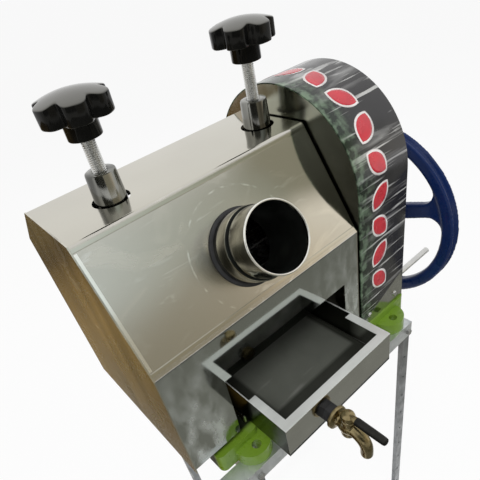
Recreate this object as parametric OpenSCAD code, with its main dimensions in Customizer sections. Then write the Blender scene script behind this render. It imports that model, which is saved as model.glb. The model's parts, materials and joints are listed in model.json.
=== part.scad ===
// Sugarcane mill: three geared rollers between two cast frames, under a folded steel hood with a
// feed tube, a guarded gear drive, a spoked hand wheel, a juice tray with a tap, and an angle-iron stand.
// Millimetres. X runs along the rollers towards the drive, Y runs to the back, Z is up.
// The mill is drawn about the hood's middle, the rollers' plane and the underside of its feet.

/* [Stand] */
// Height of the stand, from the ground to the mill's feet
stand_h = 600; // [500:10:800]
// Width of the stand along the rollers
stand_w = 366; // [360:1:400]
// Distance of the stand's middle from the hood's middle
stand_mid_x = 51; // [46:1:56]
// Depth of the stand, front to back
stand_d = 306; // [304:1:312]
// Width of each leg of the steel angle
angle_w = 25; // [24:1:32]
// Thickness of the steel angle
angle_t = 3; // [2:0.5:4]
// Width of each side of the legs' lighter angle
leg_w = 16; // [14:1:25]
// Overhang of the front and back rails past the left legs
rail_overhang = 34; // [0:1:36]
// Height of the lower rails' underside above the ground
lower_rail_z = 40; // [30:5:160]
// Pitch of the row of small holes in each leg
leg_hole_pitch = 50; // [40:5:100]

/* [Feet and frames] */
// Spacing of the foot holes along the rollers
foot_span_x = 281; // [276:1:290]
// Spacing of the foot holes, front to back
foot_span_y = 274; // [270:1:278]
// Distance of the foot pattern's middle from the hood's middle
foot_mid_x = 67.5; // [64:0.5:70]
// Radius of a foot hole
foot_hole_r = 6; // [4:0.25:7]
// Radius of a foot pad
foot_pad_r = 25; // [22:1:27]
// Thickness of a foot pad
foot_pad_t = 19; // [12:1:24]
// Height of the frames' base bars
sill_h = 30; // [26:1:36]
// Width of the frames' base bars, front to back
sill_w = 36; // [30:1:44]
// Thickness of a side frame
frame_t = 20; // [16:1:24]
// Distance of the left frame's middle from the hood's middle
left_frame_at = 80; // [76:1:84]
// Distance of the right frame's middle from the hood's middle
right_frame_at = 122; // [118:1:125]
// Height of the frames above the top roller's axis
head_room = 70; // [64:1:74]
// Radius of a tie rod
tie_r = 8; // [6:0.5:10]

/* [Rollers] */
// Height of the top roller's axis above the feet
top_axis_z = 238; // [236:0.5:240]
// Drop from the top roller's axis to the bottom rollers' axes
roller_drop = 60; // [60:0.1:60]
// Radius of a roller
roller_r = 35; // [32:0.5:36]
// Number of flutes round a roller
flute_count = 40; // [24:1:60]
// Depth of a flute
flute_depth = 1.2; // [0.6:0.1:2]
// Radius of the roller shafts
shaft_r = 12.5; // [10:0.5:13.5]
// Lift of the top roller
top_lift = 2.5; // [1:0.1:2.5]

/* [Gears] */
// Module of the three timing gears
timing_module = 5; // [5:0.1:5]
// Teeth of a timing gear
timing_teeth = 15; // [15:1:15]
// Face width of a timing gear
timing_w = 20; // [14:1:24]
// Module of the drive gears
drive_module = 3; // [3:0.1:3]
// Teeth of the drive gear on the top roller
drive_teeth = 61; // [55:1:64]
// Teeth of the pinion on the hand wheel's shaft
pinion_teeth = 15; // [14:1:18]
// Face width of the drive gear
drive_w = 25; // [18:1:30]
// Angle of the pinion from straight below the drive gear, towards the front
pinion_angle = 18; // [10:1:24]

/* [Hood] */
// Length of the hood along the rollers
hood_w = 300; // [294:1:306]
// Distance of the front and back plates from the rollers' plane
hood_half_d = 121; // [119:0.5:124]
// Height of the hood's lower edge
hood_bottom = 40; // [38:1:44]
// Height of the fold at the front
fold_front_z = 197.6; // [190:0.2:205]
// Height of the fold at the back
fold_back_z = 269.4; // [262:0.2:276]
// Height of the hood's top
hood_top = 322.5; // [319:0.5:330]
// Distance of the top's front edge from the rollers' plane
top_front_y = 47.1; // [44:0.1:50]
// Distance of the top's back edge from the rollers' plane
top_back_y = 63.5; // [58:0.5:70]
// Sheet thickness of the hood and guard
sheet_t = 1.5; // [1:0.1:2]
// Height of the top edge of the front opening
front_opening_z = 133; // [125:1:145]

/* [Feed tube] */
// Radius of the tube's outside
tube_r = 36.3; // [30:0.1:38]
// Wall of the tube
tube_wall = 1.5; // [1:0.1:3]
// Length of the tube outside the hood
tube_len = 63.5; // [45:0.5:80]
// Distance of the tube's axis from the hood's middle
tube_x = 6; // [-10:1:20]
// Distance of the tube's axis down the slanted face from its top edge
tube_down = 85; // [80:1:95]

/* [Gear guard] */
// Overhang of the guard's arch past the hood's front and back plates
guard_overhang = 2.1; // [-1:0.1:5]
// Width of the guard along the rollers
guard_w = 97; // [94:1:104]
// Gap between the hood and the guard
guard_gap = 3; // [2:0.5:5]

/* [Hand wheel] */
// Outer radius of the wheel
wheel_r = 141.6; // [125:0.1:150]
// Radial depth of the rim
rim_depth = 18.4; // [16:0.2:24]
// Width of the rim
rim_w = 17; // [15:0.5:24]
// Gap between the guard and the rim
wheel_gap = 30; // [24:1:40]
// Number of spokes
spoke_count = 4; // [3:1:6]
// Angle of the first spoke from the back, over the top
spoke_angle = 162; // [0:1:359]
// Radius of the crank rod
crank_r = 5; // [4.5:0.5:8]
// Length of the crank rod beyond the rim
crank_len = 103; // [60:1:140]

/* [Press screws] */
// Radius of the screws
screw_r = 7; // [5:0.5:8]
// Radius of a star knob
knob_r = 35; // [30:1:42]
// Number of lobes of a star knob
knob_lobes = 6; // [5:1:8]
// Height of the bushings above the frames
bushing_h = 45.6; // [40:0.2:55]
// Screw showing above the left bushing
left_stud_gap = 33; // [25:1:60]
// Screw showing above the right bushing
right_stud_gap = 41; // [25:1:60]

/* [Juice tray and tap] */
// Width of the tray
tray_w = 180; // [170:1:181]
// Reach of the tray in front of the hood
tray_front = 75.8; // [60:0.2:110]
// Reach of the tray behind the rollers' plane
tray_back = 63; // [50:1:100]
// Height of the tray's underside
tray_bottom = 56; // [50:1:58]
// Depth of the tray
tray_depth = 46; // [40:1:56]
// Width of the tray's folded rim
tray_lip = 11; // [6:1:16]
// Height of the tap's axis above the tray's underside
tap_up = 13; // [13:1:18]
// Distance of the tap from the tray's middle, towards the left
tap_left = 25.4; // [-40:0.2:40]
// Outer radius of the tap's spout
spout_r = 7; // [6:0.25:8]

/* [Hidden] */
$fn = 64;

// Shared clearances
run_gap = 0.05;
fit_gap = 0.03;
slide_gap = 0.3;
over = 1;

// Places along the rollers
left_in = -left_frame_at + frame_t / 2;
left_out = left_in - frame_t;
right_in = right_frame_at - frame_t / 2;
right_out = right_in + frame_t;
mid_in = (left_in + right_in) / 2;
hood_left = -hood_w / 2;
hood_right = hood_w / 2;
guard_r = hood_half_d + guard_overhang;
guard_left = hood_right + guard_gap;
guard_right = guard_left + guard_w;
rim_left = guard_right + wheel_gap;
rim_right = rim_left + rim_w;
crank_end = rim_right + crank_len;

// Roller axes: the timing gears set the distance between them
roller_pitch = timing_module * timing_teeth;
roller_spread = sqrt(pow(roller_pitch, 2) - pow(roller_drop, 2));
low_axis_z = top_axis_z - roller_drop;
roller_end_gap = 1;
frame_h = top_axis_z + head_room;
top_axis = [0, top_axis_z];
front_axis = [-roller_spread, low_axis_z];
rear_axis = [roller_spread, low_axis_z];

// Gear proportions
pressure = 20;
addendum_share = 1;
dedendum_share = 1.25;
timing_relief = 0.5;
drive_relief = 0.16;
flank_steps = 3;
gear_gap = 8;
drive_at = 25;
drive_left = guard_left + drive_at;
drive_pitch_r = drive_module * drive_teeth / 2;
pinion_pitch_r = drive_module * pinion_teeth / 2;
drive_pitch = drive_pitch_r + pinion_pitch_r;
wheel_axis = top_axis + drive_pitch * [-sin(pinion_angle), -cos(pinion_angle)];

// Top bearing blocks and their windows in the frames
block_w = 48;
block_below = 20;
block_above = 32;
head_r = 11;
head_t = 5.4;
head_cover = 7;
window_head = 1.5;
window_top = top_axis_z + block_above + top_lift + window_head;
head_top = top_axis_z + block_above - head_cover - slide_gap;

// Press screw bushings
bushing_r = 17;
bushing_top_r = 15.5;
spigot_r = 12;
spigot_h = 22;
bushing_top = frame_h + bushing_h;
bushing_hole_r = 20;
hub_r = 16.5;
hub_h = 18;
star_h = 25;
lobe_r = 11;
dome_r = 90;
knob_bore_depth = 18;
screw_top = bushing_top + left_stud_gap + knob_bore_depth - over;

// Hood profile in the Y and Z plane, from the front's lower edge over the top to the back's lower edge
hood_path = [
  [-hood_half_d, hood_bottom],
  [-hood_half_d, fold_front_z],
  [-top_front_y, hood_top],
  [top_back_y, hood_top],
  [hood_half_d, fold_back_z],
  [hood_half_d, hood_bottom]
];
slant = [hood_half_d - top_front_y, hood_top - fold_front_z];
slant_tilt = atan2(slant.x, slant.y);
tube_base = [-top_front_y - tube_down * sin(slant_tilt), hood_top - tube_down * cos(slant_tilt)];
opening_margin = 10;
outlet_low = 190;
outlet_high = 262;
outlet_margin = 10;
plate_drop = 8;
plate_bottom = hood_bottom - plate_drop;

// Feed tube fittings
gasket_r = 43;
gasket_t = 3;
collar_r = 39.6;
collar_h = 9;
bead_at = 14;
bead_h = 4;
bead_out = 2.2;
rim_at = 3.5;
rim_out = 1.8;
tube_inside = 10;
tube_bore_r = tube_r - tube_wall;

// Frame details
cheek_half = hood_half_d - sheet_t;
cheek_shoulder = 150;
neck_h = 18;
cheek_neck = frame_h - neck_h;
recess_y = 66;
recess_top = front_opening_z + over;
recess_corner = 14;
cheek_top_half = 46;
arch_r = 48;
arch_z = 22;
window_hole_r = 20;
window_hole_y = 74;
window_hole_z = 92;
sill_edge = 2.9;
sill_out = guard_r + sill_edge;
sill_round = 8;
left_sill_reach = 31;
left_sill_inset = 12;
right_sill_out = 252;
outer_bar_w = 30;
outer_bar_end = 12;
pedestal_gap = 10;
pedestal_w = 24;
pedestal_half = 34;
boss_r = 23;
boss_out = 4;
bush_wall = 4.5;
bush_r = shaft_r + bush_wall;
pedestal_right = right_sill_out - outer_bar_end;
pedestal_left = pedestal_right - pedestal_w;
shaft_left = right_in;
tie_offset = 9.75;
tie_y = (roller_spread + roller_r + cheek_half) / 2 - tie_offset;
tie_z = 150;
trash_tie_z = 142;
tie_places = [[-tie_y, tie_z], [tie_y, tie_z], [0, trash_tie_z]];
tie_end = 10;
nut_t = 7;
nut_share = 1.6;
lug_w = 18;
lug_t = 14;
lug_h = 32;
lug_places = [guard_left + lug_w, guard_right - lug_w - sheet_t];
small_screw_r = 2.5;
small_head_r = 4.5;
small_head_t = 2.5;
small_screw_len = 10;
guard_screw_z = sill_h + 14;
hood_screw_heights = [60, 110];

// Trash plate between the bottom rollers
trash_stem = 4;
trash_head = 12;
trash_neck_z = 186;
trash_top_z = 197;

// Chute for the crushed cane, in the Y and Z plane
chute_t = 2;
chute_clear = 0.6;
chute_path = [[84, 204], [hood_half_d, outlet_low + chute_t + chute_clear], [165, 164]];
chute_wall_h = 14;

// Tray runners
runner_w = 14;
runner_h = 12;
runner_t = 2;

// Tap, along its own axis from the tray's front wall
tap_x = mid_in - tap_left;
tap_z = tray_bottom + tap_up;
tray_front_y = -hood_half_d - tray_front;
tail_r = 9;
tail_len = 16;
locknut_t = 7;
washer_t = 9;
washer_r = 12;
flange_r = 14.5;
flange_t = 5;
neck_r = 8;
ball_r = 10;
ball_out = 27.5;
barrel_r = 8.5;
barrel_below = 14;
barrel_above = 13;
plug_r = 5.5;
port_r = 3.5;
spout_bend = 19;
spout_drop = 11;
lever_r = 3;
lever_up = 19;
lever_len = 48.4;
sleeve_r = 4.8;
sleeve_at = 11;
ball_y = tray_front_y - ball_out;

// Hand wheel details
groove_depth = 5.5;
groove_w = 11;
groove_floor_w = 4;
rim_round = 3;
wheel_hub_r = 26;
hub_gap = 6;
hub_out = 3;
spoke_t = 12;
spoke_hub_half = 13;
spoke_rim_half = 10.5;
spoke_fillet = 18;
spoke_sink = 3;
crank_tenon_r = 4;
crank_place_r = wheel_r - groove_depth - crank_tenon_r - over / 2;
thread_r = 9;
thread_len = 18;
wheel_nut_t = 14;
hub_left = guard_right + hub_gap;
hub_right = rim_right + hub_out;
shaft_right = hub_right;

// Drive gear web
web_pocket = 8;
web_hub_r = 28;
web_rim = 14;
web_hole_r = 15;
web_holes = 5;
drive_hub_r = 24;
drive_hub_out = 5;
pinion_side = 2;
pinion_hub_r = 18;
pinion_hub_len = 14;
end_nut_t = 9;
timing_hub_r = 20;
timing_hub_len = 5;
timing_shaft_out = 8;

// Stand details
stand_left = stand_mid_x - stand_w / 2;
stand_right = stand_mid_x + stand_w / 2;
stand_half_d = stand_d / 2;
foot_t = 10;
foot_cup = 6;
foot_wall = 2.5;
bolt_r = 3;
bolt_head_r = 5;
bolt_head_t = 4;
bolt_down = 14;
leg_hole_r = 2.2;
leg_left = stand_left + rail_overhang;
leg_mid = (leg_w + angle_t) / 2;

// The whole part stands on the ground with the middle of its plan at the origin
mid_x = (hood_left + crank_end) / 2;
mid_y = (ball_y - lever_len + chute_path[2].x) / 2;

// Normal of one stretch of a path, to its right hand
function path_normal(p, i) = let (d = p[i + 1] - p[i]) [d.y, -d.x] / norm(d);

// A path moved sideways to its right hand, with mitred corners
function path_shift(p, t) = [
  for (i = [0 : len(p) - 1])
    let (n1 = path_normal(p, max(i - 1, 0)), n2 = path_normal(p, min(i, len(p) - 2)))
      p[i] + t * (n1 + n2) / (1 + n1 * n2)
];

// Outline of a sheet of thickness t that follows a path
function sheet(p, t) =
  let (q = path_shift(p, t))
    concat(p, [for (i = [len(q) - 1 : -1 : 0]) q[i]]);

function polar(r, a) = r * [cos(a), sin(a)];

// Turn of an involute between its base circle and radius r
function involute(rb, r) = let (t = sqrt(max(0, pow(r / rb, 2) - 1))) t * 180 / PI - atan(t);

// Outline of a spur gear whose flanks are thinned by relief
function gear_points(n, m, relief) =
  let (
    rp = n * m / 2,
    rb = rp * cos(pressure),
    ra = rp + m * addendum_share,
    rf = rp - m * dedendum_share,
    rs = max(rb, rf),
    half = 90 / n - relief / rp * 180 / PI + involute(rb, rp),
    radii = [for (k = [0 : flank_steps]) rs + (ra - rs) * k / flank_steps],
    rise = concat(rf < rb ? [[rf, half]] : [], [for (r = radii) [r, half - involute(rb, r)]]),
    last = len(rise) - 1
  ) [
    for (i = [0 : n - 1], k = [0 : 2 * last + 1])
      let (f = k <= last ? rise[k] : rise[2 * last + 1 - k])
        polar(f[0], i * 360 / n + (k <= last ? -f[1] : f[1]))
  ];

// Phase of the second gear of a pair, for a first gear at phase a1 and a line of centres at angle phi
function mesh_phase(n1, a1, n2, phi) = phi + 180 - (0.5 - (phi - a1) * n1 / 360) * 360 / n2;

front_angle = atan2(front_axis.y - top_axis.y, front_axis.x - top_axis.x);
rear_angle = atan2(rear_axis.y - top_axis.y, rear_axis.x - top_axis.x);
front_phase = mesh_phase(timing_teeth, 0, timing_teeth, front_angle);
rear_phase = mesh_phase(timing_teeth, 0, timing_teeth, rear_angle);
pinion_phase = mesh_phase(drive_teeth, 0, pinion_teeth, 270 - pinion_angle);

// Outline of a fluted roller
function flute_points() =
  let (
    step = 360 / flute_count,
    land_share = 0.5,
    shares = [0, land_share, (1 + land_share) / 2],
    radii = [roller_r, roller_r, roller_r - flute_depth]
  ) [
    for (i = [0 : flute_count - 1], k = [0 : 2])
      polar(radii[k], step * (i + shares[k]))
  ];

// Extrude an outline drawn in the Y and Z plane along X
module slab_x(x0, x1) {
  translate([x0, 0, 0])
    rotate([90, 0, 90])
      linear_extrude(x1 - x0)
        children();
}

module rod_x(p, r, x0, x1) {
  translate([x0, p.x, p.y])
    rotate([0, 90, 0])
      cylinder(r = r, h = x1 - x0);
}

// Rod along Y from y0 to y1
module rod_y(x, z, r, y0, y1) {
  translate([x, y1, z])
    rotate([90, 0, 0])
      cylinder(r = r, h = y1 - y0);
}

module block(x0, x1, y0, y1, z0, z1) {
  translate([x0, y0, z0])
    cube([x1 - x0, y1 - y0, z1 - z0]);
}

// Flat rectangle with round corners, in plan
module round_rect(x0, x1, y0, y1, r) {
  translate([x0 + r, y0])
    square([x1 - x0 - 2 * r, y1 - y0]);
  translate([x0, y0 + r])
    square([x1 - x0, y1 - y0 - 2 * r]);
  for (x = [x0 + r, x1 - r], y = [y0 + r, y1 - r])
    translate([x, y])
      circle(r);
}

// Hexagon nut with its bore, along Z
module hex_nut(r, bore, t) {
  difference() {
    cylinder(r = r, h = t, $fn = 6);
    translate([0, 0, -over])
      cylinder(r = bore, h = t + 2 * over);
  }
}

// Small round-headed screw that points along +Z from its seat
module small_screw() {
  cylinder(r = small_screw_r, h = small_screw_len);
  translate([0, 0, -small_head_t])
    cylinder(r1 = small_head_r - small_head_t / 2, r2 = small_head_r, h = small_head_t);
}

// Side frames

module cheek_outline() {
  polygon([
    [-cheek_half, 0],
    [-cheek_half, sill_h],
    [-recess_y - recess_corner, sill_h],
    [-recess_y, sill_h + recess_corner],
    [-recess_y, recess_top - recess_corner],
    [-recess_y - recess_corner, recess_top],
    [-cheek_half, recess_top],
    [-cheek_half, cheek_shoulder],
    [-cheek_top_half, cheek_neck],
    [-cheek_top_half, frame_h],
    [cheek_top_half, frame_h],
    [cheek_top_half, cheek_neck],
    [cheek_half, cheek_shoulder],
    [cheek_half, 0]
  ]);
}

// Everything cut from both frames at the cheek that starts at x0
module cheek_cuts(x0) {
  x1 = x0 + frame_t;
  block(x0 - over, x1 + over, -block_w / 2 - slide_gap, block_w / 2 + slide_gap,
    top_axis_z - block_below - slide_gap, window_top);
  rod_x([0, arch_z], arch_r, x0 - over, x1 + over);
  rod_x([window_hole_y, window_hole_z], window_hole_r, x0 - over, x1 + over);
  for (p = [front_axis, rear_axis])
    rod_x(p, bush_r + fit_gap, x0 - over, x1 + over);
  for (p = tie_places)
    rod_x(p, tie_r + fit_gap, x0 - over, x1 + over);
  translate([x0 + frame_t / 2, 0, frame_h - spigot_h])
    cylinder(r = spigot_r + fit_gap, h = spigot_h + over);
  translate([x0 + frame_t / 2, 0, window_top - over])
    cylinder(r = screw_r + slide_gap, h = frame_h - window_top);
  for (z = hood_screw_heights)
    rod_y(x0 + frame_t / 2, z, small_screw_r + fit_gap, cheek_half - small_screw_len, cheek_half + over);
}

// Base bars across the front and back, with a pad and a hole at each foot
module base_bars(x0, x1, foot_x) {
  for (side = [0, 1])
    mirror([0, side, 0]) {
      linear_extrude(sill_h)
        round_rect(x0, x1, -sill_out, -sill_out + sill_w, sill_round);
      translate([foot_x, -sill_out, 0])
        cylinder(r = foot_pad_r, h = foot_pad_t);
    }
}

module foot_holes(foot_x) {
  for (side = [-1, 1])
    translate([foot_x, side * foot_span_y / 2, -over])
      cylinder(r = foot_hole_r, h = sill_h + 2 * over);
}

module left_frame() {
  foot_x = foot_mid_x - foot_span_x / 2;
  color("yellowgreen")
    difference() {
      union() {
        slab_x(left_out, left_in)
          cheek_outline();
        base_bars(left_out - left_sill_reach, left_in + left_sill_inset, foot_x);
      }
      cheek_cuts(left_out);
      foot_holes(foot_x);
    }
}

module right_frame() {
  foot_x = foot_mid_x + foot_span_x / 2;
  bar_out = right_sill_out - over;
  color("yellowgreen")
    difference() {
      union() {
        slab_x(right_in, right_out)
          cheek_outline();
        base_bars(right_in - left_sill_inset / 2, right_sill_out, foot_x);
        block(bar_out - outer_bar_w, bar_out, -sill_out + sill_w / 2, sill_out - sill_w / 2, 0, sill_h);
        rod_x(wheel_axis, boss_r, shaft_left, right_out + boss_out);
        pedestal();
        guard_lugs();
      }
      cheek_cuts(right_in);
      foot_holes(foot_x);
      rod_x(wheel_axis, bush_r + fit_gap, shaft_left - over, right_out + boss_out + over);
      rod_x(wheel_axis, bush_r + fit_gap, pedestal_left - over, pedestal_right + over);
      guard_screw_holes(small_screw_r + fit_gap);
    }
}

// Outboard bearing pillar of the hand wheel's shaft
module pedestal() {
  slab_x(pedestal_left, pedestal_right)
    polygon([
      [wheel_axis.x - pedestal_half, sill_h - over],
      [wheel_axis.x - boss_r, wheel_axis.y],
      [wheel_axis.x + boss_r, wheel_axis.y],
      [wheel_axis.x + pedestal_half, sill_h - over]
    ]);
  rod_x(wheel_axis, boss_r, pedestal_left, pedestal_right);
}

module guard_lugs() {
  front = -guard_r + sheet_t;
  for (x = lug_places, side = [0, 1])
    mirror([0, side, 0])
      block(x - lug_w / 2, x + lug_w / 2, front, front + lug_t, sill_h - over, sill_h + lug_h);
}

module guard_screw_holes(r) {
  for (x = lug_places, side = [0, 1])
    mirror([0, side, 0])
      rod_y(x, guard_screw_z, r, -guard_r - over, -guard_r + small_screw_len + over);
}

module tie_rods() {
  color("silver")
    for (p = tie_places)
      rod_x(p, tie_r, left_out - tie_end, right_out + tie_end);
}

module tie_nuts() {
  color("gray")
    for (p = tie_places, x = [left_out - nut_t, right_out])
      translate([x, p.x, p.y])
        rotate([0, 90, 0])
          hex_nut(tie_r * nut_share, tie_r + fit_gap, nut_t);
}

module trash_plate() {
  color("silver")
    slab_x(left_in, right_in)
      polygon([
        [-trash_stem, trash_tie_z + tie_r],
        [trash_stem, trash_tie_z + tie_r],
        [trash_stem, trash_neck_z],
        [trash_head, trash_top_z],
        [-trash_head, trash_top_z],
        [-trash_stem, trash_neck_z]
      ]);
}

module bush(p, x0, x1) {
  difference() {
    rod_x(p, bush_r, x0, x1);
    rod_x(p, shaft_r + run_gap, x0 - over, x1 + over);
  }
}

module bearing_bushes() {
  color("peru") {
    for (p = [front_axis, rear_axis], x = [left_out, right_in])
      bush(p, x, x + frame_t);
    bush(wheel_axis, shaft_left, right_out + boss_out);
    bush(wheel_axis, pedestal_left, pedestal_right);
  }
}

// Threaded bushing that guides a press screw, seated in the frame's head
module screw_bushing(x) {
  color("silver")
    translate([x, 0, frame_h])
      rotate_extrude()
        polygon([
          [screw_r + run_gap, -spigot_h],
          [spigot_r, -spigot_h],
          [spigot_r, 0],
          [bushing_r, 0],
          [bushing_top_r, bushing_h],
          [screw_r + run_gap, bushing_h]
        ]);
}

module left_screw_bushing() screw_bushing(-left_frame_at);

module right_screw_bushing() screw_bushing(right_frame_at);

// Hood

// Place its children on the slanted face at the feed tube's axis, with Z pointing out of the hood
module on_feed_axis() {
  translate([tube_x, tube_base.x, tube_base.y])
    rotate([90 - slant_tilt, 0, 0])
      children();
}

// One flat of the folded sheet, mitred along its folds
module hood_flat(i) {
  inner = path_shift(hood_path, sheet_t);
  slab_x(hood_left + sheet_t, hood_right - sheet_t)
    polygon([hood_path[i], hood_path[i + 1], inner[i + 1], inner[i]]);
}

module hood_front_panel() {
  front = -hood_half_d;
  color("lightgray")
    difference() {
      hood_flat(0);
      block(left_in - opening_margin, right_in + opening_margin, front - over, front + sheet_t + over,
        hood_bottom - over, front_opening_z);
    }
}

module hood_slant_panel() {
  color("lightgray")
    difference() {
      hood_flat(1);
      on_feed_axis()
        translate([0, 0, -sheet_t - over])
          cylinder(r = tube_r + fit_gap, h = sheet_t + 2 * over);
    }
}

module hood_top_panel() {
  color("lightgray")
    difference() {
      hood_flat(2);
      for (x = [-left_frame_at, right_frame_at])
        translate([x, 0, hood_top - sheet_t - over])
          cylinder(r = bushing_hole_r, h = sheet_t + 2 * over);
    }
}

module hood_back_slope() {
  color("lightgray")
    hood_flat(3);
}

module hood_back_panel() {
  back = hood_half_d;
  color("lightgray")
    difference() {
      hood_flat(4);
      block(left_in + outlet_margin, right_in - outlet_margin, back - sheet_t - over, back + over,
        outlet_low, outlet_high);
      hood_screw_places()
        translate([0, 0, -over])
          cylinder(r = small_screw_r + fit_gap, h = sheet_t + 2 * over);
    }
}

// End plate, which reaches a little below the folded sheet
module hood_plate(x0) {
  folds = [for (i = [1 : 4]) hood_path[i]];
  slab_x(x0, x0 + sheet_t)
    polygon(concat([[-hood_half_d, plate_bottom]], folds, [[hood_half_d, plate_bottom]]));
}

module hood_left_plate() {
  color("lightgray")
    hood_plate(hood_left);
}

module hood_right_plate() {
  color("lightgray")
    difference() {
      hood_plate(hood_right - sheet_t);
      shaft_slots(hood_right - sheet_t);
    }
}

// Clearance for the top roller's shaft, which lifts, and for the hand wheel's shaft
module shaft_slots(x0) {
  x1 = x0 + sheet_t + over;
  for (z = [top_axis_z, top_axis_z + top_lift])
    rod_x([0, z], bush_r, x0 - over, x1);
  rod_x(wheel_axis, bush_r, x0 - over, x1);
}

// Screws through the hood's back plate into the frames, seen from outside
module hood_screw_places() {
  for (x = [-left_frame_at, right_frame_at], z = hood_screw_heights)
    translate([x, hood_half_d, z])
      rotate([90, 0, 0])
        children();
}

// Feed tube

module ring(r0, r1, z0, z1) {
  translate([0, 0, z0])
    difference() {
      cylinder(r = r1, h = z1 - z0);
      translate([0, 0, -over])
        cylinder(r = r0, h = z1 - z0 + 2 * over);
    }
}

module feed_gasket() {
  color("black")
    on_feed_axis()
      ring(tube_r + fit_gap, gasket_r, 0, gasket_t);
}

module feed_collar() {
  color("silver")
    on_feed_axis()
      ring(tube_r + fit_gap, collar_r, gasket_t, gasket_t + collar_h);
}

module feed_tube() {
  color("lightgray")
    on_feed_axis()
      rotate_extrude()
        polygon([
          [tube_bore_r, -tube_inside],
          [tube_r, -tube_inside],
          [tube_r, bead_at],
          [tube_r + bead_out, bead_at + bead_h / 4],
          [tube_r + bead_out, bead_at + bead_h * 3 / 4],
          [tube_r, bead_at + bead_h],
          [tube_r, tube_len - rim_at],
          [tube_r + rim_out, tube_len - rim_at * 2 / 3],
          [tube_r + rim_out, tube_len - rim_at / 3],
          [tube_r, tube_len],
          [tube_bore_r, tube_len]
        ]);
}

// Gear guard

module arch(r) {
  translate(top_axis)
    circle(r, $fn = 128);
  translate([-r, sill_h])
    square([2 * r, top_axis_z - sill_h]);
}

module guard_band() {
  color("dimgray")
    difference() {
      slab_x(guard_left, guard_right)
        difference() {
          arch(guard_r);
          translate(top_axis)
            circle(guard_r - sheet_t, $fn = 128);
          translate([-guard_r + sheet_t, sill_h - over])
            square([2 * (guard_r - sheet_t), top_axis_z - sill_h + over]);
        }
      guard_screw_holes(small_screw_r + fit_gap);
    }
}

module guard_inner_plate() {
  color("gray")
    difference() {
      slab_x(guard_left, guard_left + sheet_t)
        arch(guard_r - sheet_t - fit_gap);
      shaft_slots(guard_left);
    }
}

module guard_outer_plate() {
  color("gray")
    difference() {
      slab_x(guard_right - sheet_t, guard_right)
        arch(guard_r - sheet_t - fit_gap);
      rod_x(wheel_axis, bush_r, guard_right - sheet_t - over, guard_right + over);
    }
}

// Screws of the hood and of the guard
module cover_screws() {
  color("silver") {
    hood_screw_places()
      small_screw();
    for (x = lug_places, side = [0, 1])
      mirror([0, side, 0])
        translate([x, -guard_r, guard_screw_z])
          rotate([-90, 0, 0])
            small_screw();
  }
}

// Tray runners and the chute for crushed cane

module tray_runners() {
  color("silver") {
    tray_runner();
    translate([2 * mid_in, 0, 0])
      mirror([1, 0, 0])
        tray_runner();
  }
}

module tray_runner() {
  top = tray_bottom - slide_gap;
  block(left_in, left_in + runner_t, -cheek_half, tray_back, top - runner_h, top);
  block(left_in, left_in + runner_w, -cheek_half, tray_back, top - runner_t, top);
}

module bagasse_chute() {
  x0 = left_in + outlet_margin + fit_gap;
  x1 = right_in - outlet_margin - fit_gap;
  wall = concat(chute_path, [for (i = [2 : -1 : 0]) chute_path[i] + [0, chute_wall_h]]);
  color("lightgray") {
    slab_x(x0, x1)
      polygon(sheet(chute_path, chute_t));
    for (x = [x0, x1 - chute_t])
      slab_x(x, x + chute_t)
        polygon(wall);
  }
}

// Stand, with its top at the underside of the feet

module stand_rail_y(side) {
  y_out = side * stand_half_d;
  y_flange = side * (stand_half_d - angle_t);
  y_in = side * (stand_half_d - angle_w);
  color("darkgray")
    difference() {
      union() {
        block(stand_left, stand_right, min(y_out, y_in), max(y_out, y_in), -angle_t, 0);
        block(stand_left, stand_right, min(y_out, y_flange), max(y_out, y_flange), -angle_w, -angle_t);
      }
      for (s = [-1, 1])
        translate([foot_mid_x + s * foot_span_x / 2, side * foot_span_y / 2, -angle_t - over])
          cylinder(r = foot_hole_r, h = angle_t + 2 * over);
      stand_bolt_places()
        translate([0, 0, -over])
          cylinder(r = bolt_r + fit_gap, h = 2 * angle_t + 2 * over);
    }
}

module stand_front_rail() stand_rail_y(-1);

module stand_back_rail() stand_rail_y(1);

// Side rail between the legs, flange outwards
module side_rail(side) {
  x_out = side > 0 ? stand_right : leg_left;
  x_flange = x_out - side * angle_t;
  x_in = x_out - side * angle_w;
  shelf = stand_half_d - angle_w;
  reach = stand_half_d - angle_t - leg_w;
  block(min(x_out, x_in), max(x_out, x_in), -shelf, shelf, -angle_t, 0);
  block(min(x_out, x_flange), max(x_out, x_flange), -reach, reach, -angle_w, -angle_t);
}

module stand_side_rails() {
  color("darkgray") {
    side_rail(-1);
    side_rail(1);
  }
}

// Lower rails between the left and right legs, front and back
module lower_rails() {
  x0 = leg_left + angle_t;
  x1 = stand_right - angle_t;
  y_out = stand_half_d - 2 * angle_t;
  z0 = lower_rail_z - stand_h;
  color("darkgray")
    for (side = [0, 1])
      mirror([0, side, 0]) {
        block(x0, x1, -y_out, angle_w - y_out, z0, z0 + angle_t);
        block(x0, x1, -y_out, angle_t - y_out, z0 + angle_t, z0 + angle_w);
      }
}

// Place a corner's children with X and Y pointing into the stand
module at_corner(x_side, y_side) {
  translate([x_side > 0 ? stand_right : leg_left, y_side * (stand_half_d - angle_t), 0])
    mirror([x_side > 0 ? 1 : 0, 0, 0])
      mirror([0, y_side > 0 ? 1 : 0, 0])
        children();
}

module leg_outline() {
  square([leg_w, angle_t]);
  square([angle_t, leg_w]);
}

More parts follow.
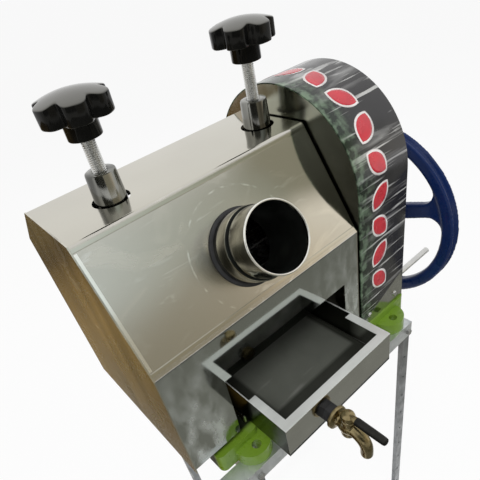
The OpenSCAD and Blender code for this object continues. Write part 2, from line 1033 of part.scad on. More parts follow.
module leg(x_side, y_side) {
  bottom = foot_t - foot_cup - stand_h;
  holes = floor((stand_h - angle_w - lower_rail_z) / leg_hole_pitch);
  color("darkgray")
    difference() {
      at_corner(x_side, y_side)
        translate([0, 0, bottom])
          linear_extrude(-angle_t - bottom)
            leg_outline();
      at_corner(x_side, y_side)
        for (i = [1 : holes - 1])
          rod_y(leg_mid, -angle_w - i * leg_hole_pitch, leg_hole_r, -over, angle_t + over);
      stand_bolt_places()
        translate([0, 0, -over])
          cylinder(r = bolt_r + fit_gap, h = 2 * angle_t + 2 * over);
    }
}

module left_front_leg() leg(-1, -1);

module right_front_leg() leg(1, -1);

module left_back_leg() leg(-1, 1);

module right_back_leg() leg(1, 1);

// Bolts through the front and back rails into the legs, pointing inwards
module stand_bolt_places() {
  for (x_side = [-1, 1], y_side = [-1, 1])
    at_corner(x_side, y_side)
      translate([leg_mid, -angle_t, -bolt_down])
        rotate([-90, 0, 0])
          children();
}

module stand_bolts() {
  color("gray")
    stand_bolt_places() {
      cylinder(r = bolt_r, h = 2 * angle_t + bolt_head_t);
      translate([0, 0, -bolt_head_t])
        cylinder(r = bolt_head_r, h = bolt_head_t, $fn = 6);
      translate([0, 0, 2 * angle_t])
        cylinder(r = bolt_head_r, h = bolt_head_t, $fn = 6);
    }
}

module leg_feet() {
  color("black")
    for (x_side = [-1, 1], y_side = [-1, 1])
      at_corner(x_side, y_side)
        translate([0, 0, -stand_h])
          difference() {
            linear_extrude(foot_t)
              round_rect(-foot_wall, leg_w + foot_wall, -foot_wall, leg_w + foot_wall, foot_wall);
            translate([0, 0, foot_t - foot_cup])
              linear_extrude(foot_cup + over)
                leg_outline();
          }
}

// Rollers, shafts and gears

module bearing_block(x0) {
  head_bottom = head_top - head_t;
  mid = x0 + frame_t / 2;
  color("peru")
    difference() {
      block(x0, x0 + frame_t, -block_w / 2, block_w / 2, top_axis_z - block_below, top_axis_z + block_above);
      rod_x(top_axis, shaft_r + run_gap, x0 - over, x0 + frame_t + over);
      translate([mid, 0, head_bottom - slide_gap]) {
        cylinder(r = head_r + slide_gap, h = head_t + 2 * slide_gap);
        cylinder(r = screw_r + slide_gap, h = block_above);
      }
    }
}

module left_bearing_block() bearing_block(left_out);

module right_bearing_block() bearing_block(right_in);

// Fluted roller with its shaft in one piece
module roller(p, x0, x1) {
  translate([0, p.x, p.y])
    slab_x(left_in + roller_end_gap, right_in - roller_end_gap)
      polygon(flute_points());
  rod_x(p, shaft_r, x0, x1);
}

timing_right = left_out - gear_gap;
timing_left = timing_right - timing_w;
shaft_end_left = timing_left - timing_shaft_out;
drive_right = drive_left + drive_w;
nut_left = drive_right + drive_hub_out;

module top_roller() {
  color("silver") {
    roller(top_axis, shaft_end_left, nut_left);
    rod_x(top_axis, thread_r, nut_left - over, nut_left + end_nut_t);
  }
}

module front_roller() {
  color("silver")
    roller(front_axis, shaft_end_left, right_out);
}

module rear_roller() {
  color("silver")
    roller(rear_axis, shaft_end_left, right_out);
}

module timing_gear(p, phase) {
  color("slategray")
    difference() {
      union() {
        translate([0, p.x, p.y])
          slab_x(timing_left, timing_right)
            rotate(phase)
              polygon(gear_points(timing_teeth, timing_module, timing_relief));
        rod_x(p, timing_hub_r, timing_right - over, timing_right + timing_hub_len);
      }
      rod_x(p, shaft_r + fit_gap, timing_left - over, timing_right + timing_hub_len + over);
    }
}

module top_timing_gear() timing_gear(top_axis, 0);

module front_timing_gear() timing_gear(front_axis, front_phase);

module rear_timing_gear() timing_gear(rear_axis, rear_phase);

module drive_gear() {
  pocket_r = drive_pitch_r - web_rim;
  hole_ring = (web_hub_r + pocket_r) / 2;
  color("slategray")
    difference() {
      union() {
        translate([0, top_axis.x, top_axis.y])
          slab_x(drive_left, drive_right)
            polygon(gear_points(drive_teeth, drive_module, drive_relief));
        rod_x(top_axis, drive_hub_r, drive_left - drive_hub_out, nut_left);
      }
      for (x = [drive_left - over, drive_right - web_pocket])
        difference() {
          rod_x(top_axis, pocket_r, x, x + web_pocket + over);
          rod_x(top_axis, web_hub_r, x - over, x + web_pocket + 2 * over);
        }
      for (i = [0 : web_holes - 1])
        rod_x(top_axis + polar(hole_ring, i * 360 / web_holes), web_hole_r,
          drive_left - over, drive_right + over);
      rod_x(top_axis, shaft_r + fit_gap, drive_left - drive_hub_out - over, nut_left + over);
    }
}

module drive_gear_nut() {
  color("gray")
    translate([nut_left, top_axis.x, top_axis.y])
      rotate([0, 90, 0])
        hex_nut(thread_r * nut_share, thread_r + fit_gap, end_nut_t);
}

// Hand wheel, its shaft and the pinion on it

module wheel_shaft() {
  color("silver") {
    rod_x(wheel_axis, shaft_r, shaft_left, shaft_right);
    rod_x(wheel_axis, thread_r, shaft_right - over, shaft_right + thread_len);
  }
}

module drive_pinion() {
  x0 = drive_left - pinion_side;
  x1 = drive_right + pinion_side;
  color("slategray")
    difference() {
      union() {
        translate([0, wheel_axis.x, wheel_axis.y])
          slab_x(x0, x1)
            rotate(pinion_phase)
              polygon(gear_points(pinion_teeth, drive_module, drive_relief));
        rod_x(wheel_axis, pinion_hub_r, x0 - pinion_hub_len, x0 + over);
      }
      rod_x(wheel_axis, shaft_r + fit_gap, x0 - pinion_hub_len - over, x1 + over);
    }
}

module wheel_nut() {
  color("gray")
    translate([shaft_right, wheel_axis.x, wheel_axis.y])
      rotate([0, 90, 0])
        hex_nut(thread_r * nut_share, thread_r + fit_gap, wheel_nut_t);
}

// One spoke along its own X, with round fillets where it runs into the rim
module spoke_outline() {
  r_in = wheel_r - rim_depth;
  fillet_y = spoke_rim_half + spoke_fillet;
  fillet_x = sqrt(pow(r_in - spoke_fillet, 2) - pow(fillet_y, 2));
  turn = atan2(fillet_y, fillet_x);
  arc_steps = 8;
  arc = [
    for (k = [0 : arc_steps])
      [fillet_x, fillet_y] + polar(spoke_fillet, -90 + (90 + turn) * k / arc_steps)
  ];
  tip = polar(r_in + spoke_sink, turn);
  for (side = [0, 1])
    mirror([0, side])
      polygon(concat([[0, 0], [0, spoke_hub_half]], arc, [tip, [r_in + spoke_sink, 0]]));
}

module hand_wheel() {
  mid = (rim_left + rim_right) / 2;
  r_in = wheel_r - rim_depth;
  half = rim_w / 2;
  color("midnightblue")
    difference() {
      union() {
        translate([mid, wheel_axis.x, wheel_axis.y])
          rotate([0, 90, 0])
            rotate_extrude($fn = 128)
              polygon([
                [r_in, -half + rim_round],
                [r_in + rim_round, -half],
                [wheel_r, -half],
                [wheel_r, -groove_w / 2],
                [wheel_r - groove_depth, -groove_floor_w / 2],
                [wheel_r - groove_depth, groove_floor_w / 2],
                [wheel_r, groove_w / 2],
                [wheel_r, half],
                [r_in + rim_round, half],
                [r_in, half - rim_round]
              ]);
        translate([0, wheel_axis.x, wheel_axis.y])
          slab_x(mid - spoke_t / 2, mid + spoke_t / 2)
            for (i = [0 : spoke_count - 1])
              rotate(spoke_angle + i * 360 / spoke_count)
                spoke_outline();
        rod_x(wheel_axis, wheel_hub_r, hub_left, hub_right);
      }
      rod_x(wheel_axis, shaft_r + fit_gap, hub_left - over, hub_right + over);
      rod_x(crank_axis, crank_tenon_r + fit_gap, rim_left - over, rim_right + over);
    }
}

crank_axis = wheel_axis + polar(crank_place_r, spoke_angle + 360 / spoke_count);

module crank_rod() {
  color("silver") {
    rod_x(crank_axis, crank_tenon_r, rim_left, rim_right + over);
    rod_x(crank_axis, crank_r, rim_right, crank_end);
  }
}

// Press screws and star knobs

module press_screw(x) {
  color("silver")
    translate([x, 0, head_top - head_t]) {
      cylinder(r = head_r, h = head_t);
      cylinder(r = screw_r, h = screw_top - head_top + head_t);
    }
}

module left_press_screw() press_screw(-left_frame_at);

module right_press_screw() press_screw(right_frame_at);

module star_outline() {
  circle(knob_r - lobe_r);
  for (i = [0 : knob_lobes - 1])
    rotate(i * 360 / knob_lobes)
      translate([knob_r - lobe_r, 0])
        circle(lobe_r);
}

module knob(x, bottom) {
  color("black")
    translate([x, 0, bottom])
      difference() {
        union() {
          cylinder(r = hub_r, h = hub_h + over);
          intersection() {
            translate([0, 0, hub_h])
              linear_extrude(star_h)
                star_outline();
            translate([0, 0, hub_h + star_h - dome_r])
              sphere(r = dome_r);
          }
        }
        translate([0, 0, -over])
          cylinder(r = screw_r + fit_gap, h = knob_bore_depth + over);
      }
}

module left_knob() knob(-left_frame_at, bushing_top + left_stud_gap);

module right_knob() knob(right_frame_at, bushing_top + right_stud_gap);

// Juice tray

module juice_tray() {
  x0 = mid_in - tray_w / 2;
  x1 = mid_in + tray_w / 2;
  top = tray_bottom + tray_depth;
  color("silver")
    difference() {
      block(x0, x1, tray_front_y, tray_back, tray_bottom, top);
      block(x0 + sheet_t, x1 - sheet_t, tray_front_y + sheet_t, tray_back - sheet_t,
        tray_bottom + sheet_t, top - sheet_t);
      block(x0 + tray_lip, x1 - tray_lip, tray_front_y + tray_lip, tray_back - sheet_t,
        top - 2 * sheet_t, top + over);
      rod_y(tap_x, tap_z, tail_r + fit_gap, tray_front_y - over, tray_front_y + sheet_t + over);
    }
}

// Tap, seated on the tray's front wall

module on_tap_axis(y) {
  translate([tap_x, y, tap_z])
    rotate([90, 0, 0])
      children();
}

module tap_locknut() {
  color("darkgoldenrod")
    on_tap_axis(tray_front_y + sheet_t + locknut_t)
      hex_nut(washer_r, tail_r + fit_gap, locknut_t);
}

module tap_washer() {
  color("black")
    on_tap_axis(tray_front_y)
      hex_nut(washer_r, tail_r + fit_gap, washer_t);
}

module tap_body() {
  bend_y = ball_y - ball_r / 2;
  spout_y = bend_y - spout_bend;
  color("darkgoldenrod")
    difference() {
      union() {
        rod_y(tap_x, tap_z, tail_r, tray_front_y - washer_t - over, tray_front_y + tail_len);
        rod_y(tap_x, tap_z, flange_r, tray_front_y - washer_t - flange_t, tray_front_y - washer_t);
        rod_y(tap_x, tap_z, neck_r, ball_y, tray_front_y - washer_t - flange_t + over);
        translate([tap_x, ball_y, tap_z])
          sphere(r = ball_r);
        translate([tap_x, ball_y, tap_z - barrel_below])
          cylinder(r = barrel_r, h = barrel_below + barrel_above);
        translate([tap_x, bend_y, tap_z - spout_bend])
          rotate([0, -90, 0])
            rotate_extrude(angle = -90)
              translate([spout_bend, 0])
                circle(spout_r);
        translate([tap_x, spout_y, tap_z - spout_bend - spout_drop])
          cylinder(r = spout_r, h = spout_drop);
      }
      rod_y(tap_x, tap_z, port_r, ball_y, tray_front_y + tail_len + over);
      translate([tap_x, ball_y, tap_z - barrel_below - over])
        cylinder(r = plug_r + run_gap, h = barrel_below + barrel_above + 2 * over);
      translate([tap_x, spout_y, tap_z - spout_bend - spout_drop - over])
        cylinder(r = port_r, h = spout_drop + over);
    }
}

module tap_plug() {
  color("goldenrod")
    difference() {
      union() {
        translate([tap_x, ball_y, tap_z - barrel_below])
          cylinder(r = plug_r, h = barrel_below + lever_up + lever_r);
        translate([tap_x, ball_y, tap_z + barrel_above + slide_gap])
          cylinder(r = barrel_r, h = lever_up - barrel_above + lever_r);
      }
      rod_y(tap_x, tap_z, port_r, ball_y - plug_r - over, ball_y + plug_r + over);
      rod_y(tap_x, tap_z + lever_up, lever_r + fit_gap, ball_y - barrel_r - over, ball_y);
    }
}

module tap_lever() {
  color("goldenrod")
    rod_y(tap_x, tap_z + lever_up, lever_r, ball_y - lever_len, ball_y);
}

module lever_sleeve() {
  y0 = ball_y - lever_len;
  y1 = ball_y - sleeve_at;
  color("black")
    difference() {
      rod_y(tap_x, tap_z + lever_up, sleeve_r, y0, y1);
      rod_y(tap_x, tap_z + lever_up, lever_r + fit_gap, y0 - over, y1 + over);
    }
}

// Lift the whole part onto the ground and bring the middle of its plan to the origin
module place() {
  translate([-mid_x, -mid_y, stand_h])
    children();
}

place() left_frame();
place() right_frame();
place() tie_rods();
place() tie_nuts();
place() trash_plate();
place() bearing_bushes();
place() left_screw_bushing();
place() right_screw_bushing();
place() hood_front_panel();
place() hood_slant_panel();
place() hood_top_panel();
place() hood_back_slope();
place() hood_back_panel();
place() hood_left_plate();
place() hood_right_plate();
place() feed_gasket();
place() feed_collar();
place() feed_tube();
place() guard_band();
place() guard_inner_plate();
place() guard_outer_plate();
place() cover_screws();
place() tray_runners();
place() bagasse_chute();
place() stand_front_rail();
place() stand_back_rail();
place() stand_side_rails();
place() lower_rails();
place() left_front_leg();
place() right_front_leg();
place() left_back_leg();
place() right_back_leg();
place() stand_bolts();
place() leg_feet();
place() left_bearing_block();
place() right_bearing_block();
place() top_roller();
place() top_timing_gear();
place() drive_gear();
place() drive_gear_nut();
place() front_roller();
place() front_timing_gear();
place() rear_roller();
place() rear_timing_gear();
place() hand_wheel();
place() wheel_shaft();
place() drive_pinion();
place() wheel_nut();
place() crank_rod();
place() left_press_screw();
place() left_knob();
place() right_press_screw();
place() right_knob();
place() juice_tray();
place() tap_locknut();
place() tap_washer();
place() tap_body();
place() tap_plug();
place() tap_lever();
place() lever_sleeve();
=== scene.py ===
"""Looks of the sugarcane mill: materials for every CAD node, finer meshes for the pieces that show most,
a plain studio and the photograph's camera. Lengths of the mill are millimetres in its own frame
(hood's middle, rollers' plane, underside of the feet) and are turned into the row frame by mill()."""

import json
import math

import bmesh
import bpy
from mathutils import Matrix, Vector


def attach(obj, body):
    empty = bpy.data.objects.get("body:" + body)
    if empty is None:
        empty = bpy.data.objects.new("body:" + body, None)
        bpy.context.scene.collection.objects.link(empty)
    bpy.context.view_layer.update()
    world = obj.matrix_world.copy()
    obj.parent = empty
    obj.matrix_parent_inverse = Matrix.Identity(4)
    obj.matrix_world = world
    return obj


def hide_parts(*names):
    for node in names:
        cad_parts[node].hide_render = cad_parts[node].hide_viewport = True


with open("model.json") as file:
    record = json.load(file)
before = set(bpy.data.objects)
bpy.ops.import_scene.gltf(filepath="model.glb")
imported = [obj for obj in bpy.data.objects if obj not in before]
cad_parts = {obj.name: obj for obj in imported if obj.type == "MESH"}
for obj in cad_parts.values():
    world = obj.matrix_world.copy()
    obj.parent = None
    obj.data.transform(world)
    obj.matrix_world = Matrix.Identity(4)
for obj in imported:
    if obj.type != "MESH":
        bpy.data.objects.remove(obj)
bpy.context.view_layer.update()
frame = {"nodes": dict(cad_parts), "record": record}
NODES = frame["nodes"]

# Where the mill's own frame lies in the row frame
MID_X, MID_Y, STAND_H = 125.0, -53.85, 600.0
MM = 0.001

# Edges sharper than these angles, in degrees, stay sharp
SHARP, CAD_SHARP, CUT_SHARP, CAST_SHARP, INK_SHARP = 35, 30, 25, 50, 60

# Sizes shared with the CAD source
HOOD_HALF_W, HOOD_HALF_D, SHEET = 150.0, 121.0, 1.5
HOOD_BOTTOM, FOLD_FRONT, FOLD_BACK, HOOD_TOP = 40.0, 197.6, 269.4, 322.5
TOP_FRONT, TOP_BACK = 47.1, 63.5
LEFT_IN, RIGHT_IN = -70.0, 112.0
OPENING_TOP, OPENING_MARGIN = 133.0, 10.0
HOOD_MID_Z = 180.0
OUTLET_LOW, OUTLET_HIGH, OUTLET_MARGIN = 190.0, 262.0, 10.0
TUBE_X, TUBE_DOWN, TUBE_R, TUBE_WALL, TUBE_LEN, TUBE_INSIDE = 6.0, 85.0, 36.3, 1.5, 63.5, 10.0
SCREW_X = {"left": -80.0, "right": 122.0}
FRAME_H, BUSHING_H, BUSHING_R, BUSHING_TOP_R, SCREW_R = 308.0, 45.6, 17.0, 15.5, 7.0
STUD_GAP = {"left": 33.0, "right": 41.0}
GUARD_LEFT, GUARD_R, GUARD_Z = 153.0, 123.1, 238.0
SILL_H = 30.0
TAP_X, TAP_Z, TRAY_FRONT_Y = -4.4, 69.0, -196.8
RIM_RIGHT, CRANK_END = 297.0, 400.0
CRANK_Y, CRANK_Z, CRANK_R = -75.8946, 4.4205, 5.0
TRAY_LEFT, TRAY_RIGHT, TRAY_FLOOR, TRAY_TOP, TRAY_LIP = -69.0, 111.0, 59.5, 102.0, 11.0


def mill(x, y, z):
    """A point of the mill's own frame, in the row frame."""
    return Vector(((x - MID_X) * MM, (y - MID_Y) * MM, (z + STAND_H) * MM))


SLANT_DOWN = Vector((-(HOOD_HALF_D - TOP_FRONT), FOLD_FRONT - HOOD_TOP)).normalized()
SLANT_OUT = Vector((SLANT_DOWN.y, -SLANT_DOWN.x))
FEED_OUT = Vector((0, SLANT_OUT.x, SLANT_OUT.y))
feed_y, feed_z = Vector((-TOP_FRONT, HOOD_TOP)) + TUBE_DOWN * SLANT_DOWN
FEED_BASE = mill(TUBE_X, feed_y, feed_z)


# Mesh helpers

def add_object(name, mesh, sharp=SHARP):
    """Links a mesh as a new object, smooth apart from edges sharper than the given angle."""
    obj = bpy.data.objects.new(name, mesh)
    bpy.context.scene.collection.objects.link(obj)
    shade(obj, sharp)
    return obj


def shade(obj, sharp=SHARP):
    obj.data.shade_smooth()
    obj.data.set_sharp_from_angle(angle=math.radians(sharp))


def mesh_from(name, points, faces, merge=False):
    """A mesh with its faces turned outwards; merge joins points that lie on each other."""
    mesh = bpy.data.meshes.new(name)
    mesh.from_pydata([tuple(p) for p in points], [], faces)
    bm = bmesh.new()
    bm.from_mesh(mesh)
    if merge:
        bmesh.ops.remove_doubles(bm, verts=bm.verts, dist=1e-4 * MM)
    bmesh.ops.recalc_face_normals(bm, faces=bm.faces)
    bm.to_mesh(mesh)
    bm.free()
    return mesh


def loft(rings, closed_ring=True, cap=True):
    """Points and faces of a skin over rings of equal length."""
    count = len(rings[0])
    points = [p for ring in rings for p in ring]
    faces = []
    for i in range(len(rings) - 1):
        for j in range(count if closed_ring else count - 1):
            k = (j + 1) % count
            faces.append((i * count + j, i * count + k, (i + 1) * count + k, (i + 1) * count + j))
    if cap:
        faces.append(tuple(reversed(range(count))))
        last = (len(rings) - 1) * count
        faces.append(tuple(last + j for j in range(count)))
    return points, faces


def axes_along(direction):
    """Two unit vectors square to a direction, and one along it."""
    w = Vector(direction).normalized()
    u = w.orthogonal().normalized()
    return u, w.cross(u), w


def turned_mesh(name, origin, direction, profile, steps=96, ring=False):
    """A turned form: profile is a list of (radius, distance along direction) in millimetres.
    With ring=True the profile is a closed outline, for pieces with a hole."""
    u, v, w = axes_along(direction)
    rings = []
    for radius, along in profile + (profile[:1] if ring else []):
        rings.append([
            origin + MM * (radius * (math.cos(a) * u + math.sin(a) * v) + along * w)
            for a in (2 * math.pi * j / steps for j in range(steps))
        ])
    return mesh_from(name, *loft(rings, cap=not ring), merge=ring)


def lathe(name, *shape, **options):
    """A turned form as an object; the rest is said as for turned_mesh."""
    return add_object(name, turned_mesh(name, *shape, **options))


def rounded(points, radius, steps=4):
    """An open path with its inner corners rounded."""
    out = [points[0]]
    for a, b, c in zip(points, points[1:], points[2:]):
        a, b, c = Vector(a), Vector(b), Vector(c)
        r = min(radius, 0.45 * (a - b).length, 0.45 * (c - b).length)
        p, q = b + (a - b).normalized() * r, b + (c - b).normalized() * r
        for k in range(steps + 1):
            t = k / steps
            out.append(tuple((1 - t) ** 2 * p + 2 * t * (1 - t) * b + t * t * q))
    out.append(points[-1])
    return out


def evaluated(obj, name):
    """The mesh of an object with its modifiers applied; the object goes."""
    bpy.context.view_layer.update()
    graph = bpy.context.evaluated_depsgraph_get()
    mesh = bpy.data.meshes.new_from_object(obj.evaluated_get(graph))
    mesh.name = name
    bpy.data.objects.remove(obj)
    return mesh


def cast(name, meshes, voxel, smooth_steps):
    """Melts meshes into one cast form with soft fillets: voxel size in millimetres."""
    bm = bmesh.new()
    for mesh in meshes:
        bm.from_mesh(mesh)
    joined = bpy.data.meshes.new(name)
    bm.to_mesh(joined)
    bm.free()
    obj = bpy.data.objects.new(name, joined)
    bpy.context.scene.collection.objects.link(obj)
    remesh = obj.modifiers.new("melt", "REMESH")
    remesh.mode = "VOXEL"
    remesh.voxel_size = voxel * MM
    smooth = obj.modifiers.new("soften", "SMOOTH")
    smooth.factor = 0.5
    smooth.iterations = smooth_steps
    return add_object(name, evaluated(obj, name), CAST_SHARP)


def cut(obj, cutters):
    """Cuts boxes or rods out of a mesh and returns the new object."""
    name = obj.name
    for cutter in cutters:
        modifier = obj.modifiers.new("cut", "BOOLEAN")
        modifier.operation = "DIFFERENCE"
        modifier.solver = "EXACT"
        modifier.object = cutter
    mesh = evaluated(obj, name)
    for cutter in cutters:
        bpy.data.objects.remove(cutter)
    return add_object(name, mesh, CUT_SHARP)


def box_cutter(low, high):
    bm = bmesh.new()
    bmesh.ops.create_cube(bm, size=1)
    size, middle = high - low, (high + low) / 2
    bmesh.ops.transform(bm, matrix=Matrix.Translation(middle) @ Matrix.Diagonal((*size, 1)), verts=bm.verts)
    mesh = bpy.data.meshes.new("cutter")
    bm.to_mesh(mesh)
    bm.free()
    return add_object("cutter", mesh)


def rod_cutter(origin, direction, radius, low, high):
    return lathe("cutter", origin, direction, [(radius, low), (radius, high)], 72)


# Shader node helpers: a value is another node's output, a number or a colour

MIX_A, MIX_B, MIX_OUT = 6, 7, 2


def give(tree, socket, value):
    if isinstance(value, bpy.types.NodeSocket):
        tree.links.new(value, socket)
    else:
        socket.default_value = (*value, 1) if isinstance(value, tuple) else value


def math_node(tree, operation, *values):
    made = tree.nodes.new("ShaderNodeMath")
    made.operation = operation
    for socket, value in zip(made.inputs, values):
        give(tree, socket, value)
    return made.outputs[0]


def map_range(tree, value, low, high, from_low, from_high, interpolation="LINEAR"):
    made = tree.nodes.new("ShaderNodeMapRange")
    made.interpolation_type = interpolation
    for key, number in (("Value", value), ("From Min", from_low), ("From Max", from_high), ("To Min", low),
                        ("To Max", high)):
        give(tree, made.inputs[key], number)
    return made.outputs["Result"]


def color_ramp(tree, fac, stops):
    made = tree.nodes.new("ShaderNodeValToRGB")
    elements = made.color_ramp.elements
    while len(elements) < len(stops):
        elements.new(0.5)
    for element, (place, color) in zip(elements, stops):
        element.position = place
        element.color = (*color, 1)
    give(tree, made.inputs["Fac"], fac)
    return made.outputs["Color"]


def mix_colors(tree, fac, a, b):
    made = tree.nodes.new("ShaderNodeMix")
    made.data_type = "RGBA"
    for key, value in (("Factor", fac), (MIX_A, a), (MIX_B, b)):
        give(tree, made.inputs[key], value)
    return made.outputs[MIX_OUT]


# Materials

class Paint:
    """A procedural material: a principled shader with helpers for textures in row coordinates."""

    def __init__(self, name, color, rough, metal=0.0, coat=0.0, specular=0.5):
        self.mat = bpy.data.materials.new(name)
        self.mat.use_nodes = True
        self.tree = self.mat.node_tree
        self.nodes, self.links = self.tree.nodes, self.tree.links
        self.shader = self.nodes["Principled BSDF"]
        self.color = color
        self.set("Base Color", (*color, 1))
        self.set("Roughness", rough)
        self.set("Metallic", metal)
        self.set("Coat Weight", coat)
        self.set("Coat Roughness", 0.08)
        self.set("Specular IOR Level", specular)
        self.coords = self.nodes.new("ShaderNodeTexCoord").outputs["Object"]

    def set(self, socket, value):
        self.shader.inputs[socket].default_value = value

    def link(self, output, socket):
        self.links.new(output, self.shader.inputs[socket])

    def node(self, kind, **values):
        made = self.nodes.new("ShaderNode" + kind)
        for key, value in values.items():
            setattr(made, key, value)
        return made

    def mapped(self, scale=(1, 1, 1), turn=(0, 0, 0)):
        mapping = self.node("Mapping")
        mapping.inputs["Scale"].default_value = scale
        mapping.inputs["Rotation"].default_value = [math.radians(a) for a in turn]
        self.links.new(self.coords, mapping.inputs["Vector"])
        return mapping.outputs["Vector"]

    def noise(self, scale, detail=4.0, stretch=(1, 1, 1), turn=(0, 0, 0), distortion=0.0):
        tex = self.node("TexNoise")
        tex.inputs["Scale"].default_value = scale
        tex.inputs["Detail"].default_value = detail
        tex.inputs["Distortion"].default_value = distortion
        self.links.new(self.mapped(stretch, turn), tex.inputs["Vector"])
        return tex.outputs["Fac"]

    def spangle(self, scale):
        tex = self.node("TexVoronoi")
        tex.inputs["Scale"].default_value = scale
        self.links.new(self.coords, tex.inputs["Vector"])
        return tex.outputs["Color"]

    def rings(self, pitch, axis):
        """Fine grooves across one axis, pitch in millimetres."""
        tex = self.node("TexWave", wave_type="BANDS", bands_direction=axis)
        tex.inputs["Scale"].default_value = 0.314 / (pitch * MM) / 2
        self.links.new(self.coords, tex.inputs["Vector"])
        return tex.outputs["Fac"]

    def place(self, axis):
        parts = self.node("SeparateXYZ")
        self.links.new(self.coords, parts.inputs["Vector"])
        return parts.outputs[axis]

    def facing_up(self, low, high):
        """0 where a face looks sideways, 1 where it looks up."""
        parts = self.node("SeparateXYZ")
        self.links.new(self.node("NewGeometry").outputs["Normal"], parts.inputs["Vector"])
        return self.span(parts.outputs["Z"], 0, 1, low, high)

    def away_from(self, output, value):
        """How far an output lies from a value, either way."""
        return math_node(self.tree, "ABSOLUTE", math_node(self.tree, "SUBTRACT", output, value))

    def times(self, a, b):
        return math_node(self.tree, "MULTIPLY", a, b)

    def circle(self, centre, radius, width):
        """1 on a thin circle round a point, 0 away from it."""
        reach = self.node("VectorMath", operation="DISTANCE")
        self.links.new(self.coords, reach.inputs[0])
        reach.inputs[1].default_value = centre
        return self.span(self.away_from(reach.outputs["Value"], radius), 1, 0, 0.4 * width, width)

    def ramp(self, fac, stops):
        return color_ramp(self.tree, fac, stops)

    def span(self, fac, low, high, from_low=0.3, from_high=0.7):
        return map_range(self.tree, fac, low, high, from_low, from_high)

    def mix(self, fac, a, b):
        return mix_colors(self.tree, fac, a, b)

    def bump(self, height, distance, strength=1.0):
        """Adds a bump of so many millimetres on top of any earlier one."""
        made = self.node("Bump")
        made.inputs["Distance"].default_value = distance * MM
        made.inputs["Strength"].default_value = strength
        self.links.new(height, made.inputs["Height"])
        normal = self.shader.inputs["Normal"]
        if normal.is_linked:
            self.links.new(normal.links[0].from_socket, made.inputs["Normal"])
        self.links.new(made.outputs["Normal"], normal)

    def shades(self, fac, low_share, high_share):
        """Colour that wanders between two shares of the base colour."""
        low = tuple(c * low_share for c in self.color)
        high = tuple(min(1.0, c * high_share) for c in self.color)
        self.link(self.ramp(fac, [(0.3, low), (0.7, high)]), "Base Color")


def sheet_steel(name, color, rough, wave=0.5):
    """Polished stainless sheet: slightly wavy, with faint rub marks and fine scratches."""
    p = Paint(name, color, rough, metal=1.0)
    p.shades(p.noise(5, 3), 0.94, 1.05)
    p.link(p.span(p.noise(26, 6, stretch=(1, 1, 0.4)), rough * 0.7, rough * 1.5), "Roughness")
    p.bump(p.noise(7, 1), wave)
    p.bump(p.noise(420, 2, stretch=(0.03, 1, 1), turn=(0, 12, 8)), 0.01, 0.35)
    return p.mat


def cast_paint(name, color, rough, coat):
    """Gloss paint over sand-cast iron."""
    p = Paint(name, color, rough, coat=coat, specular=0.3)
    p.shades(p.noise(18, 5), 0.78, 1.16)
    p.link(p.span(p.noise(60, 5), rough * 0.7, rough * 1.4), "Roughness")
    p.bump(p.noise(170, 5), 0.35, 0.6)
    p.bump(p.noise(30, 2), 0.6, 0.5)
    return p.mat


def casting_shaded_inside(name, color, rough, coat, half_depth):
    """Gloss paint, with painted shade that turns it near black inside the hood, within half_depth of its middle."""
    p = Paint(name, color, rough, coat=coat)
    outside = p.span(p.away_from(p.place("Y"), mill(0, 0, 0).y), 0, 1, half_depth - 6 * MM, half_depth)
    unshaded_paint = p.mix(p.noise(18, 5), tuple(0.8 * c for c in color), tuple(1.15 * c for c in color))
    # Painted shade: the near-black colour that the casting takes inside the hood
    stain_and_shade = p.mix(p.noise(30, 6), (0.004, 0.005, 0.003), (0.020, 0.028, 0.009))
    p.link(p.mix(outside, stain_and_shade, unshaded_paint), "Base Color")
    p.link(p.span(outside, 0, coat, 0, 1), "Coat Weight")
    p.link(p.span(outside, 0.05, 0.5, 0, 1), "Specular IOR Level")
    p.link(p.span(p.noise(60, 5), rough * 0.7, rough * 1.4), "Roughness")
    p.bump(p.noise(170, 5), 0.35, 0.6)
    p.bump(p.noise(30, 2), 0.6, 0.5)
    return p.mat


def turned(name, color, rough, pitch=0.6, axis="X"):
    """Machined metal with fine tool marks round the axis."""
    p = Paint(name, color, rough, metal=1.0)
    p.shades(p.noise(40, 4), 0.85, 1.08)
    p.link(p.span(p.noise(90, 4), rough * 0.7, rough * 1.4), "Roughness")
    p.bump(p.rings(pitch, axis), 0.02, 0.5)
    return p.mat


def drawn_steel(name, color):
    """Bright drawn steel with long dark and light streaks."""
    p = Paint(name, color, 0.12, metal=1.0)
    streaks = p.noise(46, 4, stretch=(1, 1, 0.05))
    p.link(p.ramp(streaks, [(0.36, tuple(0.45 * c for c in color)), (0.5, color),
                            (0.66, tuple(1.5 * c for c in color))]), "Base Color")
    p.link(p.span(p.noise(60, 4), 0.08, 0.18), "Roughness")
    p.bump(p.noise(160, 3, stretch=(1, 1, 0.1)), 0.02, 0.5)
    return p.mat


def zinc_angle(name, share):
    """Galvanised steel with faint spangle and handling marks; share scales how bright it is."""
    dark, pale, bright = [tuple(share * c for c in tone) for tone in (
        (0.36, 0.38, 0.39), (0.62, 0.64, 0.65), (0.72, 0.74, 0.75))]
    p = Paint(name, pale, 0.38, metal=0.9)
    tint = p.mix(p.noise(45, 5), dark, pale)
    p.link(p.mix(p.span(p.spangle(120), 0, 0.35, 0, 1), tint, bright), "Base Color")
    p.link(p.span(p.noise(70, 5), 0.28, 0.52), "Roughness")
    p.bump(p.noise(240, 3), 0.05, 0.4)
    return p.mat


